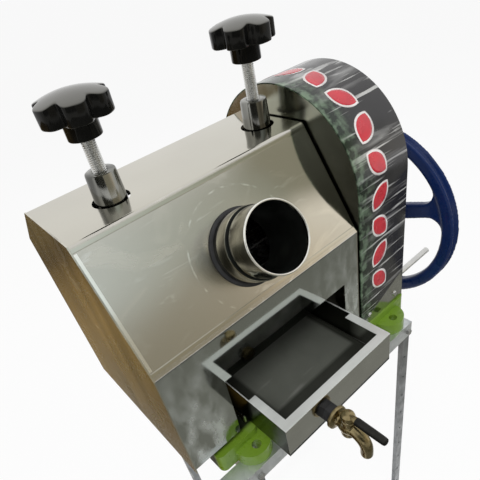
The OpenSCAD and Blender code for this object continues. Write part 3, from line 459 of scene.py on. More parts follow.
def black_moulding(name, rough, gloss):
    """Black plastic; its gloss shows on the faces that look up and is turned down on the sides, a painted shade that
    keeps the sides dark.
    """
    p = Paint(name, (0.0045, 0.0045, 0.0042), rough)
    p.set("IOR", 1.8)
    p.set("Specular Tint", (1.0, 0.98, 0.89, 1))
    # Painted shade: less shine on the sides than on the faces that look up
    p.link(p.span(p.facing_up(0.3, 0.75), 0.06, gloss, 0, 1), "Specular IOR Level")
    p.shades(p.noise(30, 4), 0.8, 1.5)
    p.link(p.span(p.noise(55, 6), rough * 0.7, rough * 1.8), "Roughness")
    p.bump(p.noise(60, 2), 0.10, 0.5)
    return p.mat


def rubber(name):
    p = Paint(name, (0.016, 0.016, 0.017), 0.62)
    p.shades(p.noise(80, 5), 0.7, 1.6)
    p.link(p.span(p.noise(120, 5), 0.5, 0.75), "Roughness")
    p.bump(p.noise(500, 3), 0.06, 0.6)
    return p.mat


def brass(name):
    """Cast brass, with brown patches."""
    p = Paint(name, (0.55, 0.40, 0.16), 0.26, metal=1.0)
    p.link(p.mix(p.noise(120, 6), (0.13, 0.095, 0.035), (0.40, 0.33, 0.185)), "Base Color")
    p.link(p.span(p.noise(160, 5), 0.16, 0.42), "Roughness")
    p.bump(p.noise(330, 4), 0.06, 0.5)
    return p.mat


def gear_iron(name):
    p = Paint(name, (0.10, 0.10, 0.10), 0.42, metal=0.85)
    p.shades(p.noise(60, 5), 0.6, 1.7)
    p.link(p.span(p.noise(90, 5), 0.3, 0.6), "Roughness")
    p.bump(p.noise(240, 4), 0.08, 0.5)
    return p.mat


# Middle and front edge of the tray floor's lighter part, which the floor's painted shadow surrounds
FLOOR_X, FLOOR_Y = 32.0, -HOOD_HALF_D - 25.0


def tray_steel(name, floor_z, lip_z):
    """Folded polished sheet with brushed lips and painted shade at the hood; the floor is stained, with a painted
    shadow round its lighter middle.
    """
    p = Paint(name, (0.60, 0.60, 0.58), 0.1, metal=1.0)
    sheet = p.mix(p.noise(38, 6), (0.54, 0.54, 0.52), (0.66, 0.66, 0.64))
    stain_and_shade = p.mix(p.noise(24, 6, distortion=0.6), (0.110, 0.117, 0.098), (0.170, 0.178, 0.154))
    scuffs = p.span(p.noise(130, 4, stretch=(0.12, 1, 1), turn=(0, 0, 28)), 0, 0.5, 0.62, 0.74)
    stain_and_shade = p.mix(scuffs, stain_and_shade, (0.26, 0.26, 0.24))
    # Painted shadow: outside this middle the floor is painted near black, as shade from the lips and walls
    wear_and_light = p.times(p.span(p.away_from(p.place("X"), mill(FLOOR_X, 0, 0).x), 1, 0, 68 * MM, 73 * MM),
                   p.span(p.place("Y"), 0, 1, mill(0, FLOOR_Y - 3, 0).y, mill(0, FLOOR_Y + 3, 0).y))
    stain_and_shade = p.mix(wear_and_light, p.mix(p.noise(30, 5), (0.026, 0.028, 0.022), (0.045, 0.047, 0.038)), stain_and_shade)
    # Painted shade: the sheet turns near black towards the hood
    hood_shade = p.span(p.place("Y"), 0, 1, mill(0, -HOOD_HALF_D - 40, 0).y, mill(0, -HOOD_HALF_D - 15, 0).y)
    sheet = p.mix(hood_shade, sheet, (0.035, 0.037, 0.030))
    inside = p.span(p.place("Z"), 1, 0, floor_z, floor_z + 2 * MM)
    lip = p.span(p.place("Z"), 0, 1, lip_z - 1.2 * MM, lip_z - 0.6 * MM)
    brushed = p.mix(p.noise(90, 5, stretch=(0.3, 1, 1)), (0.62, 0.64, 0.62), (0.84, 0.86, 0.84))
    p.link(p.mix(lip, p.mix(inside, sheet, stain_and_shade), brushed), "Base Color")
    p.link(p.mix(lip, p.span(inside, 1.0, 0.25, 0, 1), (0.55, 0.55, 0.55)), "Metallic")
    rough = p.mix(inside, p.span(p.noise(64, 6), 0.06, 0.14), p.span(p.noise(64, 6), 0.38, 0.55))
    p.link(p.mix(lip, rough, (0.38, 0.38, 0.38)), "Roughness")
    p.bump(p.noise(11, 2), 0.3)
    return p.mat


def guard_film(name, steel_top, rise):
    """Dark printed film with pale streaks, greener towards the hood, over plain steel below a slanted edge."""
    p = Paint(name, (0.03, 0.03, 0.03), 0.2, coat=0.15, specular=0.4)
    base = p.mix(p.noise(16, 5), (0.010, 0.010, 0.011), (0.048, 0.046, 0.047))
    broad = p.span(p.noise(34, 7, stretch=(0.22, 1, 2.4), turn=(24, 0, 18), distortion=0.4), 0, 0.5, 0.58, 0.72)
    fine = p.span(p.noise(70, 4, stretch=(0.09, 1, 2.4), turn=(30, 0, 26), distortion=0.3), 0, 0.9, 0.605, 0.655)
    cross = p.span(p.noise(56, 5, stretch=(0.12, 1, 2.0), turn=(-16, 0, -20), distortion=0.8), 0, 0.7, 0.62, 0.68)
    film = p.mix(fine, p.mix(broad, base, (0.42, 0.42, 0.41)), (0.56, 0.56, 0.54))
    film = p.mix(cross, film, (0.46, 0.46, 0.45))
    left = mill(GUARD_LEFT, 0, 0).x
    greener = p.span(p.place("X"), 0.9, 0, left, left + 34 * MM)
    leaves = p.mix(p.span(p.noise(110, 7), 0, 1, 0.44, 0.64), (0.008, 0.022, 0.009), (0.17, 0.25, 0.16))
    film = p.mix(greener, film, leaves)
    edge = math_node(p.tree, "MULTIPLY_ADD", p.place("X"), -rise, p.place("Z"))
    foot = steel_top - rise * left
    p.link(p.mix(p.span(edge, 1, 0, foot, foot + FILM_FADE), film, (0.50, 0.50, 0.47)), "Base Color")
    p.link(p.span(edge, 1, 0.1, foot, foot + FILM_FADE), "Metallic")
    p.link(p.span(p.noise(48, 5), 0.12, 0.28), "Roughness")
    p.bump(p.noise(9, 2), 0.4)
    return p.mat


def spangled_sheet(name, clean_x, clean_half):
    """Polished sheet with whitish streaks where it has gone dull, most of them low down and none within
    clean_half of clean_x."""
    p = Paint(name, (0.56, 0.57, 0.54), 0.09, metal=1.0)
    blots = p.span(p.noise(62, 5, stretch=(1, 1, 0.5), turn=(0, 20, 0), distortion=0.3), 0, 0.95, 0.39, 0.70)
    low_down = p.span(p.place("Z"), 1, 0.25, mill(0, 0, HOOD_BOTTOM + 50).z, mill(0, 0, FOLD_FRONT - 10).z)
    off_middle = p.span(p.away_from(p.place("X"), clean_x), 0, 1, clean_half, clean_half + 20 * MM)
    dull = p.times(p.times(blots, low_down), off_middle)
    p.link(p.mix(dull, (0.48, 0.50, 0.475), (0.68, 0.71, 0.68)), "Base Color")
    p.link(p.span(dull, 1.0, 0.55, 0, 1), "Metallic")
    p.link(p.span(dull, 0.06, 0.42, 0, 1), "Roughness")
    p.bump(p.noise(7, 1), 0.4)
    return p.mat


def rubbed_sheet(name, color, wave, scuff_r=0.0, streaks=0.0):
    """A soft polish with pale rub marks and a few short scratches. With scuff_r there is a circle of wear of that
    radius round the feed tube, and streaks says how strong the broad dark streaks are."""
    p = Paint(name, color, 0.12, metal=1.0)
    rubs = p.span(p.noise(22, 7, stretch=(0.6, 1, 1), distortion=1.2), 0, 1, 0.54, 0.74)
    lines = p.span(p.noise(130, 4, stretch=(0.16, 1, 0.7), turn=(0, 30, 0), distortion=0.6), 0, 0.6, 0.635, 0.75)
    tint = p.mix(rubs, color, tuple(min(1.0, c * 1.2) for c in color))
    tint = p.mix(lines, tint, (0.84, 0.84, 0.82))
    broad = p.span(p.noise(13, 5, stretch=(1, 1.6, 0.3), turn=(-28, 0, 0), distortion=0.7), streaks, 0, 0.36, 0.60)
    tint = p.mix(broad, tint, tuple(0.42 * c for c in color))
    if scuff_r:
        wear_and_light = p.times(p.circle(FEED_BASE, scuff_r, 1.3 * MM), p.span(p.noise(95, 5), 0, 0.7, 0.47, 0.66))
        tint = p.mix(wear_and_light, tint, (0.92, 0.92, 0.89))
    p.link(tint, "Base Color")
    satin = p.span(p.place("X"), 1, 0, mill(20, 0, 0).x, mill(80, 0, 0).x)
    p.link(p.mix(satin, p.span(rubs, 0.09, 0.16, 0, 1), p.span(rubs, 0.24, 0.34, 0, 1)), "Roughness")
    p.bump(p.noise(6, 1), wave)
    return p.mat


def shaded_plate(name, back, front):
    """The guard's inner plate: greener at the front, browner towards the back."""
    p = Paint(name, (0.2, 0.2, 0.18), 0.14, metal=1.0)
    further = p.span(p.place("Y"), 0, 1, front, back)
    clouds = p.noise(14, 4)
    p.link(p.mix(further, p.mix(clouds, (0.34, 0.365, 0.31), (0.52, 0.52, 0.44)),
                 p.mix(clouds, (0.46, 0.41, 0.34), (0.58, 0.53, 0.45))), "Base Color")
    p.link(p.span(p.noise(26, 6), 0.10, 0.24), "Roughness")
    p.bump(p.noise(7, 1), 0.6)
    return p.mat


def dull_steel(name, color, metal=0.8):
    """Unpolished steel inside the machine, with juice stains; its colour is set near black where it is painted shade
    and pale where it is painted light.
    """
    p = Paint(name, color, 0.5, metal=metal)
    p.shades(p.noise(35, 6), 0.6, 1.5)
    p.link(p.span(p.noise(60, 5), 0.42, 0.65), "Roughness")
    p.bump(p.noise(210, 3), 0.05, 0.4)
    return p.mat


POLISHED = sheet_steel("polished_sheet", (0.565, 0.545, 0.48), 0.09)
PLATE = rubbed_sheet("side_sheet", (0.60, 0.575, 0.50), 0.9, streaks=0.75)
SHADED = shaded_plate("shaded_plate", mill(0, 60, 0).y, mill(0, 5, 0).y)
FITTING = drawn_steel("polished_fitting", (0.30, 0.288, 0.225))
# Painted highlight: a much paler copy of the polished sheet for lit edges
HIGHLIGHT_STEEL = sheet_steel("highlight_steel", (0.86, 0.85, 0.80), 0.2)
BUSHING = drawn_steel("bushing_steel", (0.25, 0.25, 0.23))
STEEL = turned("machined_steel", (0.60, 0.60, 0.58), 0.24)
GREEN = casting_shaded_inside("green_casting", (0.165, 0.290, 0.024), 0.30, 0.25, 119 * MM)
NAVY = cast_paint("blue_casting", (0.003, 0.016, 0.082), 0.26, 0.08)
# The same galvanised finish at two shares: brighter on the rails, darker on the legs
GALVANISED = zinc_angle("galvanised_angle", 1.33)
DARK_ZINC = zinc_angle("galvanised_leg", 0.45)
GLOSS_BLACK = black_moulding("black_gloss", 0.09, 0.85)
SLEEVE = black_moulding("black_sleeve", 0.42, 0.2)
RUBBER = rubber("black_rubber")
BRASS = brass("brass")
GEAR = gear_iron("gear_iron")
BRONZE = turned("bronze", (0.45, 0.27, 0.11), 0.32)
ZINC = turned("zinc_fastener", (0.50, 0.50, 0.48), 0.28, 0.5, "Z")
TRAY = tray_steel("tray_sheet", mill(0, 0, TRAY_FLOOR).z, mill(0, 0, TRAY_TOP).z)
# Painted light: a pale, dull copy of the sheet for the inside of the tray's front wall
TRAY_FRONT_LIT = dull_steel("tray_front_lit", (0.86, 0.88, 0.81), 0.1)
# Painted shade: a near-black copy of the sheet for the tray's outer left side
TRAY_SIDE_SHADE = sheet_steel("tray_side_shade", (0.055, 0.06, 0.045), 0.18)
FRONT = spangled_sheet("front_sheet", mill(-10, 0, 0).x, 72 * MM)
SLANTED = rubbed_sheet("slanted_sheet", (0.57, 0.55, 0.50), 0.4, 66 * MM)
# Painted shade: near-black steel for the hood's inner faces
INSIDE_SHADE = dull_steel("inside_shade", (0.10, 0.10, 0.095))
# Painted shade: near-black steel for the tube's bore and the gap above its sleeve
BORE_SHADE = dull_steel("bore_shade", (0.018, 0.020, 0.018))
FILM_FADE = 1.2 * MM
FILM = guard_film("guard_film", mill(0, 0, 36).z, 0.42)

SLOT_MATERIALS = {
    "green_casting": GREEN, "blue_casting": NAVY, "polished_sheet": POLISHED, "guard_sheet": FILM,
    "machined_steel": STEEL, "gear_iron": GEAR, "bronze": BRONZE, "galvanised_angle": GALVANISED,
    "black_gloss": GLOSS_BLACK, "black_rubber": RUBBER, "brass": BRASS, "zinc_fastener": ZINC,
    "black_sleeve": SLEEVE,
}
NODE_MATERIALS = {
    "hood_left_plate": PLATE, "hood_right_plate": PLATE, "guard_inner_plate": SHADED, "guard_outer_plate": PLATE,
    "juice_tray": TRAY, "tap_locknut": ZINC, "left_front_leg": DARK_ZINC, "right_front_leg": DARK_ZINC,
    "left_back_leg": DARK_ZINC, "right_back_leg": DARK_ZINC,
}


def paint(obj, material):
    obj.data.materials.clear()
    obj.data.materials.append(material)


def finish_piece(obj, material, body, slot, *nodes):
    """Paints a new piece, lets it ride on its body and puts it in place of its CAD nodes."""
    paint(obj, material)
    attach(obj, body)
    if nodes:
        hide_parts(*nodes)


def round_edges(obj, radius):
    bevel = obj.modifiers.new("edge", "BEVEL")
    bevel.width = radius * MM
    bevel.segments = 3
    bevel.limit_method = "ANGLE"
    bevel.angle_limit = math.radians(SHARP)
    bevel.harden_normals = True


# Every CAD node gets its material, and an edge radius where its own edges show
SLOT_OF = {s["node"]: s["material_slot"] for s in frame["record"]["subparts"]}
EDGE_RADII = {
    "left_frame": 1.6, "right_frame": 1.6, "juice_tray": 0.5, "hood_left_plate": 0.5, "hood_right_plate": 0.5,
    "guard_outer_plate": 0.4, "guard_band": 0.4, "bagasse_chute": 0.5, "wheel_nut": 0.8, "tap_washer": 0.6,
    "stand_front_rail": 0.6, "stand_back_rail": 0.6, "stand_side_rails": 0.6, "lower_rails": 0.6,
    "left_front_leg": 0.6, "right_front_leg": 0.6, "left_back_leg": 0.6, "right_back_leg": 0.6,
    "leg_feet": 1.0, "stand_bolts": 0.6, "cover_screws": 0.4,
}
for node_name, node_obj in NODES.items():
    paint(node_obj, NODE_MATERIALS.get(node_name, SLOT_MATERIALS[SLOT_OF[node_name]]))
    shade(node_obj, CAD_SHARP)
    if node_name in EDGE_RADII:
        round_edges(node_obj, EDGE_RADII[node_name])


# Hood: one folded sheet with round folds

def sheet_outline(path, thickness):
    """A closed outline that follows a path and stays so thick towards its right hand."""
    inner = []
    for i, p in enumerate(path):
        before, after = Vector(path[max(i - 1, 0)]), Vector(path[min(i + 1, len(path) - 1)])
        a, b = Vector(p) - before, after - Vector(p)
        a = a.normalized() if a.length else b.normalized()
        b = b.normalized() if b.length else a
        n = Vector((a.y + b.y, -a.x - b.x)) / (1 + a.dot(b))
        inner.append(tuple(Vector(p) + thickness * n))
    return list(path) + inner[::-1]


def extruded_x(name, outline, x0, x1):
    """An outline in the Y and Z plane, drawn out along X."""
    ends = [[mill(x, y, z) for y, z in outline] for x in (x0, x1)]
    return mesh_from(name, *loft(ends))


FIT = 0.1
UP = (0, 0, 1)
FOLD_R = 2.6
BUSHING_HOLE_R = 20.0
FACES_FRONT, FACES_SLANT = -0.97, -0.5
THROUGH = 4.0
hood_path = rounded([
    (-HOOD_HALF_D, HOOD_BOTTOM), (-HOOD_HALF_D, FOLD_FRONT), (-TOP_FRONT, HOOD_TOP),
    (TOP_BACK, HOOD_TOP), (HOOD_HALF_D, FOLD_BACK), (HOOD_HALF_D, HOOD_BOTTOM),
], FOLD_R)
hood_mesh = extruded_x("hood_sheet", sheet_outline(hood_path, SHEET), -HOOD_HALF_W + SHEET, HOOD_HALF_W - SHEET)
hood_cutters = [
    box_cutter(mill(LEFT_IN - OPENING_MARGIN, -HOOD_HALF_D - THROUGH, HOOD_BOTTOM - THROUGH),
               mill(RIGHT_IN + OPENING_MARGIN, -HOOD_HALF_D + THROUGH, OPENING_TOP)),
    box_cutter(mill(LEFT_IN + OUTLET_MARGIN, HOOD_HALF_D - THROUGH, OUTLET_LOW),
               mill(RIGHT_IN - OUTLET_MARGIN, HOOD_HALF_D + THROUGH, OUTLET_HIGH)),
    rod_cutter(FEED_BASE, FEED_OUT, TUBE_R + FIT, -6, 6),
    *(rod_cutter(mill(x, 0, HOOD_TOP), UP, BUSHING_HOLE_R, -5, 5) for x in SCREW_X.values()),
]
hood = cut(add_object("hood_sheet", hood_mesh), hood_cutters)
finish_piece(hood, POLISHED, "mill", "polished_sheet", "hood_front_panel", "hood_slant_panel", "hood_top_panel",
             "hood_back_slope", "hood_back_panel")
for extra in (FRONT, SLANTED, INSIDE_SHADE):
    hood.data.materials.append(extra)
# Faces that look into the hood get the painted shade; front and slanted faces get their own sheets
for face in hood.data.polygons:
    outward = face.center.y - mill(0, 0, 0).y, face.center.z - mill(0, 0, HOOD_MID_Z).z
    if outward[0] * face.normal.y + outward[1] * face.normal.z < 0:
        face.material_index = 3
    elif face.normal.y < FACES_FRONT:
        face.material_index = 1
    elif face.normal.y < FACES_SLANT:
        face.material_index = 2

# Hem strips on the slanted face, where the sheet is turned over beside its folds and its left edge
HEM_W, HEM_T, HEM_SUNK, HEM_R = 4.5, 0.5, 0.4, 0.35
TOP_HEM_AT, FRONT_HEM_AT = 3.0, 9.0
SIDE_HEM_AT, SIDE_HEM_SHORT, SIDE_HEM_W = 8.5, 19.0, 3.2


def hem(name, start, length, x0, x1, material):
    """A shallow strip with round edges on the slanted face, from a point in the Y and Z plane downwards."""
    def at(s, h):
        return Vector(start) + s * SLANT_DOWN + h * SLANT_OUT
    outline = rounded([tuple(at(*p)) for p in (
        (0, -HEM_SUNK), (0, HEM_T), (length, HEM_T), (length, -HEM_SUNK))], HEM_R)
    obj = add_object(name, extruded_x(name, outline, x0, x1))
    finish_piece(obj, material, "mill", "polished_sheet")


slant_top, slant_foot = Vector((-TOP_FRONT, HOOD_TOP)), Vector((-HOOD_HALF_D, FOLD_FRONT))
hem_left, hem_right = -HOOD_HALF_W + SHEET, HOOD_HALF_W - SHEET
hem("top_hem", slant_top + TOP_HEM_AT * SLANT_DOWN, HEM_W, hem_left, hem_right, POLISHED)
hem("front_hem", slant_foot - FRONT_HEM_AT * SLANT_DOWN, HEM_W, hem_left, hem_right, POLISHED)
# The strip along the left edge gets the painted highlight
hem("side_hem", slant_top + SIDE_HEM_AT * SLANT_DOWN, (slant_foot - slant_top).length - SIDE_HEM_SHORT,
    hem_left, hem_left + SIDE_HEM_W, HIGHLIGHT_STEEL)

# Feed tube with its gasket and collar
GASKET_R, GASKET_T = 43.0, 3.0
COLLAR_R, COLLAR_TOP, SLEEVE_TOP, GAP_TOP, RIM_R = 39.6, 12.0, 28.8, 33.0, 1.15
BORE_END, RIM_FROM, BEAD_LIT = 5.0, 2.2, 0.9
gasket = lathe("feed_seal", FEED_BASE, FEED_OUT, [
    (TUBE_R + FIT, 0), (GASKET_R - 1.0, 0), (GASKET_R, 1.0), (GASKET_R - 0.4, 2.4), (GASKET_R - 1.4, GASKET_T),
    (TUBE_R + FIT, GASKET_T)], ring=True)
finish_piece(gasket, RUBBER, "mill", "black_rubber", "feed_gasket")
collar = lathe("feed_ring", FEED_BASE, FEED_OUT, [
    (TUBE_R + FIT, GASKET_T), (COLLAR_R - 0.4, GASKET_T), (COLLAR_R, GASKET_T + 0.6), (COLLAR_R, COLLAR_TOP),
    (TUBE_R + FIT, COLLAR_TOP)], 128, ring=True)
finish_piece(collar, FITTING, "mill", "polished_sheet", "feed_collar")
rim = [(TUBE_R - 0.75 + RIM_R * math.cos(a), TUBE_LEN - RIM_R + RIM_R * math.sin(a))
       for a in (math.radians(-60 + 22 * k) for k in range(12))]
tube = lathe("feed_pipe", FEED_BASE, FEED_OUT, [
    (TUBE_R - TUBE_WALL, -TUBE_INSIDE), (TUBE_R, -TUBE_INSIDE), (TUBE_R, COLLAR_TOP + 0.05),
    (COLLAR_R, COLLAR_TOP + 0.05), (COLLAR_R, SLEEVE_TOP - 0.9), (COLLAR_R - 0.3, SLEEVE_TOP - 0.3),
    (COLLAR_R - 0.9, SLEEVE_TOP), (TUBE_R, SLEEVE_TOP + 0.2), (TUBE_R, GAP_TOP), (TUBE_R + 0.6, GAP_TOP + 0.3),
    (TUBE_R + 0.8, GAP_TOP + 1.2), (TUBE_R + 0.6, GAP_TOP + 2.1), (TUBE_R, GAP_TOP + 3.0), *rim,
    (TUBE_R - TUBE_WALL, TUBE_LEN - 4)], 128, ring=True)
finish_piece(tube, FITTING, "mill", "polished_sheet", "feed_tube")
for extra in (BORE_SHADE, HIGHLIGHT_STEEL):
    tube.data.materials.append(extra)
# Faces in the bore, under the collar and in the gap above the sleeve get painted shade
for face in tube.data.polygons:
    from_axis = face.center - FEED_BASE
    along = from_axis.dot(FEED_OUT) / MM
    from_axis -= from_axis.dot(FEED_OUT) * FEED_OUT
    inside = from_axis.dot(face.normal) < 0 and along < TUBE_LEN - BORE_END
    if inside or along < COLLAR_TOP or SLEEVE_TOP < along < GAP_TOP:
        face.material_index = 1
    # The tube's end and a thin band of the bead get a painted highlight
    elif along > TUBE_LEN - RIM_FROM or GAP_TOP < along < GAP_TOP + BEAD_LIT:
        face.material_index = 2

# Press screws with cut threads, their bushings and the star knobs
THREAD_FROM, THREAD_PITCH, THREAD_DEPTH = 330.0, 2.0, 0.9
STUD_IN_KNOB = 6.0
BUSHING_TAIL, BUSHING_TAIL_R = 22.0, 12.0
HEAD_TOP, HEAD_T, HEAD_R = 262.7, 5.4, 11.0
HUB_R, HUB_H, STAR_R, STAR_H, DOME_R, LOBES = 16.5, 18.0, 35.0, 25.0, 90.0, 6
NOTCH, EDGE_IN = 8.0, 1.5
KNOB_STEPS, DOME_RINGS = 180, 8
KNOB_TURN = {"left": 12, "right": 34}


def star_radius(angle):
    """Outline of a knob: wide lobes with narrow notches."""
    share = (1 - math.cos(LOBES * angle)) / 2
    return STAR_R - NOTCH * share ** 3


def star_knob(name, origin, turn):
    """Star knob: a hub below, straight sides and one smooth dome that the star's outline cuts off."""
    def dome(radius):
        return HUB_H + STAR_H - radius ** 2 / (2 * DOME_R)

    hub = [(HUB_R - 1.2, 0), (HUB_R - 0.3, 0.4), (HUB_R, 1.4), (HUB_R, HUB_H - 1), (HUB_R + 0.8, HUB_H)]
    side = [(-6.0, HUB_H), (-1.6, HUB_H), (-0.5, HUB_H + 0.5), (0.0, HUB_H + 1.8)]
    edge = [(0.0, -EDGE_IN), (-0.25, -0.65), (-0.8, -0.15), (-EDGE_IN, 0.0)]
    inwards = [1 - (k + 1) / (DOME_RINGS + 0.3) for k in range(DOME_RINGS)]
    rings = [[] for _ in range(len(hub) + len(side) + len(edge) + DOME_RINGS)]
    for j in range(KNOB_STEPS):
        a = 2 * math.pi * j / KNOB_STEPS
        out = star_radius(a)
        column = list(hub) + [(out + d, z) for d, z in side]
        column += [(out + d, dome(out + d) + z) for d, z in edge]
        column += [(t * (out - EDGE_IN), dome(t * (out - EDGE_IN))) for t in inwards]
        for ring, (r, z) in zip(rings, column):
            ring.append(origin + MM * Vector((r * math.cos(a + turn), r * math.sin(a + turn), z)))
    return add_object(name, mesh_from(name, *loft(rings)), CAST_SHARP)


for side_name, x in SCREW_X.items():
    knob_z = FRAME_H + BUSHING_H + STUD_GAP[side_name]
    stud_top = knob_z + STUD_IN_KNOB
    profile = [(HEAD_R - 0.5, HEAD_TOP - HEAD_T), (HEAD_R, HEAD_TOP - HEAD_T + 0.5), (HEAD_R, HEAD_TOP),
               (SCREW_R, HEAD_TOP)]
    z = THREAD_FROM
    while z < stud_top - THREAD_PITCH:
        profile += [(SCREW_R, z), (SCREW_R, z + 0.3), (SCREW_R - THREAD_DEPTH, z + 1.0),
                    (SCREW_R - THREAD_DEPTH, z + 1.3)]
        z += THREAD_PITCH
    profile += [(SCREW_R, z), (SCREW_R, stud_top)]
    stud = lathe(f"{side_name}_stud", mill(x, 0, 0), UP, profile, 48)
    finish_piece(stud, STEEL, f"{side_name}_screw", "machined_steel", f"{side_name}_press_screw")
    knob = star_knob(f"{side_name}_star", mill(x, 0, knob_z), math.radians(KNOB_TURN[side_name]))
    finish_piece(knob, GLOSS_BLACK, f"{side_name}_screw", "black_gloss", f"{side_name}_knob")
    bushing = lathe(f"{side_name}_sleeve_nut", mill(x, 0, FRAME_H), UP, [
        (SCREW_R + FIT, -BUSHING_TAIL), (BUSHING_TAIL_R, -BUSHING_TAIL), (BUSHING_TAIL_R, 0), (BUSHING_R, 0),
        (BUSHING_R - 0.1, 4), (BUSHING_TOP_R, BUSHING_H - 2.0), (BUSHING_TOP_R - 0.5, BUSHING_H - 0.6),
        (BUSHING_TOP_R - 1.6, BUSHING_H), (SCREW_R + 1.6, BUSHING_H), (SCREW_R + FIT, BUSHING_H - 1.4)], ring=True)
    finish_piece(bushing, BUSHING, "mill", "machined_steel", f"{side_name}_screw_bushing")

# Hand wheel: the CAD form melted into a casting with soft fillets, and its crank rod
WHEEL_VOXEL, WHEEL_STEPS = 1.7, 8
CRANK_FROM, CRANK_TAIL_R = 280.0, 4.0
wheel = cast("spoked_wheel", [NODES["hand_wheel"].data], WHEEL_VOXEL, WHEEL_STEPS)
finish_piece(wheel, NAVY, "wheel", "blue_casting", "hand_wheel")
crank = lathe("crank_bar", mill(0, CRANK_Y, CRANK_Z), (1, 0, 0), [
    (CRANK_TAIL_R, CRANK_FROM), (CRANK_TAIL_R, RIM_RIGHT), (CRANK_R, RIM_RIGHT), (CRANK_R, CRANK_END - 1),
    (CRANK_R - 0.3, CRANK_END - 0.3), (CRANK_R - 1, CRANK_END)], 48)
finish_piece(crank, STEEL, "wheel", "machined_steel", "crank_rod")

# Tray: the side lips are cut away where they would meet the front panel
GAP_FRONT, GAP_BACK = -HOOD_HALF_D - 17.0, -HOOD_HALF_D + 25.0
pan = cut(add_object("tray_pan", NODES["juice_tray"].data.copy()), [
    box_cutter(mill(x0, GAP_FRONT, TRAY_TOP - 2 * SHEET), mill(x1, GAP_BACK, TRAY_TOP + SHEET)) for x0, x1 in (
        (TRAY_LEFT + SHEET, TRAY_LEFT + TRAY_LIP + SHEET), (TRAY_RIGHT - TRAY_LIP - SHEET, TRAY_RIGHT - SHEET))])
finish_piece(pan, TRAY, "tray", SLOT_OF["juice_tray"], "juice_tray")
for extra in (TRAY_FRONT_LIT, TRAY_SIDE_SHADE):
    pan.data.materials.append(extra)
SQUARE_ON = 0.9
for face in pan.data.polygons:
    # Painted shade on the outer left side
    if face.normal.x < -SQUARE_ON and face.center.x < mill(TRAY_LEFT + SHEET / 2, 0, 0).x:
        face.material_index = 2
    # Painted light on the inside of the front wall
    if face.normal.y > SQUARE_ON and face.center.y < mill(0, TRAY_FRONT_Y + 2 * SHEET, 0).y:
        face.material_index = 1
round_edges(pan, EDGE_RADII["juice_tray"])

# Tap: cast brass body with a horn-shaped spout, and a lever with a dipped sleeve
FORWARD = (0, -1, 0)
BALL_OUT, BALL_R, LEVER_UP, LEVER_LEN, SLEEVE_AT = 27.5, 10.0, 19.0, 48.4, 11.0
TAP_SEAT = mill(TAP_X, TRAY_FRONT_Y, TAP_Z)
WASHER_T, TAIL_R, BEND_R = 9.0, 9.0, 19.0
TAP_VOXEL, TAP_STEPS = 0.55, 5


def horn(name, path, radii, steps=32):
    """A round tube of changing radius along a path in the Y and Z plane at the tap's X."""
    rings = []
    for i, (y, z) in enumerate(path):
        a, b = Vector(path[max(i - 1, 0)]), Vector(path[min(i + 1, len(path) - 1)])
        tangent = (b - a).normalized()
        up = Vector((0, -tangent.y, tangent.x))
        side = Vector((1, 0, 0))
        centre = mill(TAP_X, y, z)
        rings.append([
            centre + MM * radii[i] * (math.cos(t) * side + math.sin(t) * up)
            for t in (2 * math.pi * j / steps for j in range(steps))
        ])
    return mesh_from(name, *loft(rings))


tap_core = turned_mesh("tap_core", TAP_SEAT, FORWARD, [
    (TAIL_R, -16), (TAIL_R, WASHER_T), (14.0, WASHER_T), (14.5, WASHER_T + 1), (14.2, WASHER_T + 4.2),
    (12.0, WASHER_T + 5), (8.6, WASHER_T + 6), (7.6, WASHER_T + 8.5), (8.4, 20), (9.6, 23), (BALL_R, BALL_OUT),
    (9.2, 32.5), (7.0, 36.2), (3.0, 38)], 64)
tap_middle = mill(TAP_X, TRAY_FRONT_Y - BALL_OUT, TAP_Z)
tap_barrel = turned_mesh("tap_barrel", tap_middle, UP, [
    (6.6, -14), (8.2, -12.5), (8.5, -10), (8.5, 11.6), (7.8, 13)], 64)
bend = [(TRAY_FRONT_Y - BALL_OUT - 5 - BEND_R * math.sin(a), TAP_Z - BEND_R + BEND_R * math.cos(a))
        for a in (math.radians(9 * k) for k in range(11))]
spout_path = bend + [(bend[-1][0], bend[-1][1] - d) for d in (4.0, 8.0, 10.2, 11.0)]
spout_radii = [7.9 - 0.09 * k for k in range(len(bend))] + [7.0, 7.0, 6.7, 5.8]
tap = cast("tap_casting", [tap_core, tap_barrel, horn("tap_horn", spout_path, spout_radii)], TAP_VOXEL, TAP_STEPS)
finish_piece(tap, BRASS, "tray", "brass", "tap_body")
plug = lathe("tap_key", tap_middle, UP, [
    (5.4, -13.5), (5.4, 13.3), (7.9, 13.3), (8.4, 14.2), (8.4, 17), (7.4, 20.2), (5.0, 21.8), (2.0, 22.3)], 48)
finish_piece(plug, BRASS, "tap_handle", "brass", "tap_plug")
lever_origin = mill(TAP_X, TRAY_FRONT_Y - BALL_OUT, TAP_Z + LEVER_UP)
lever = lathe("tap_arm", lever_origin, FORWARD, [
    (3.0, 0), (3.6, 6), (4.3, 9.6), (4.0, 12), (3.0, 13), (3.0, LEVER_LEN - 2)], 40)
finish_piece(lever, BRASS, "tap_handle", "brass", "tap_lever")
sleeve = lathe("tap_grip", lever_origin, FORWARD, [
    (3.05, SLEEVE_AT), (4.6, SLEEVE_AT), (4.8, SLEEVE_AT + 0.8), (4.75, 30), (4.5, LEVER_LEN - 3),
    (4.1, LEVER_LEN - 1), (3.0, LEVER_LEN - 0.1), (1.2, LEVER_LEN)], 40)
finish_piece(sleeve, SLEEVE, "tap_handle", "black_sleeve", "lever_sleeve")

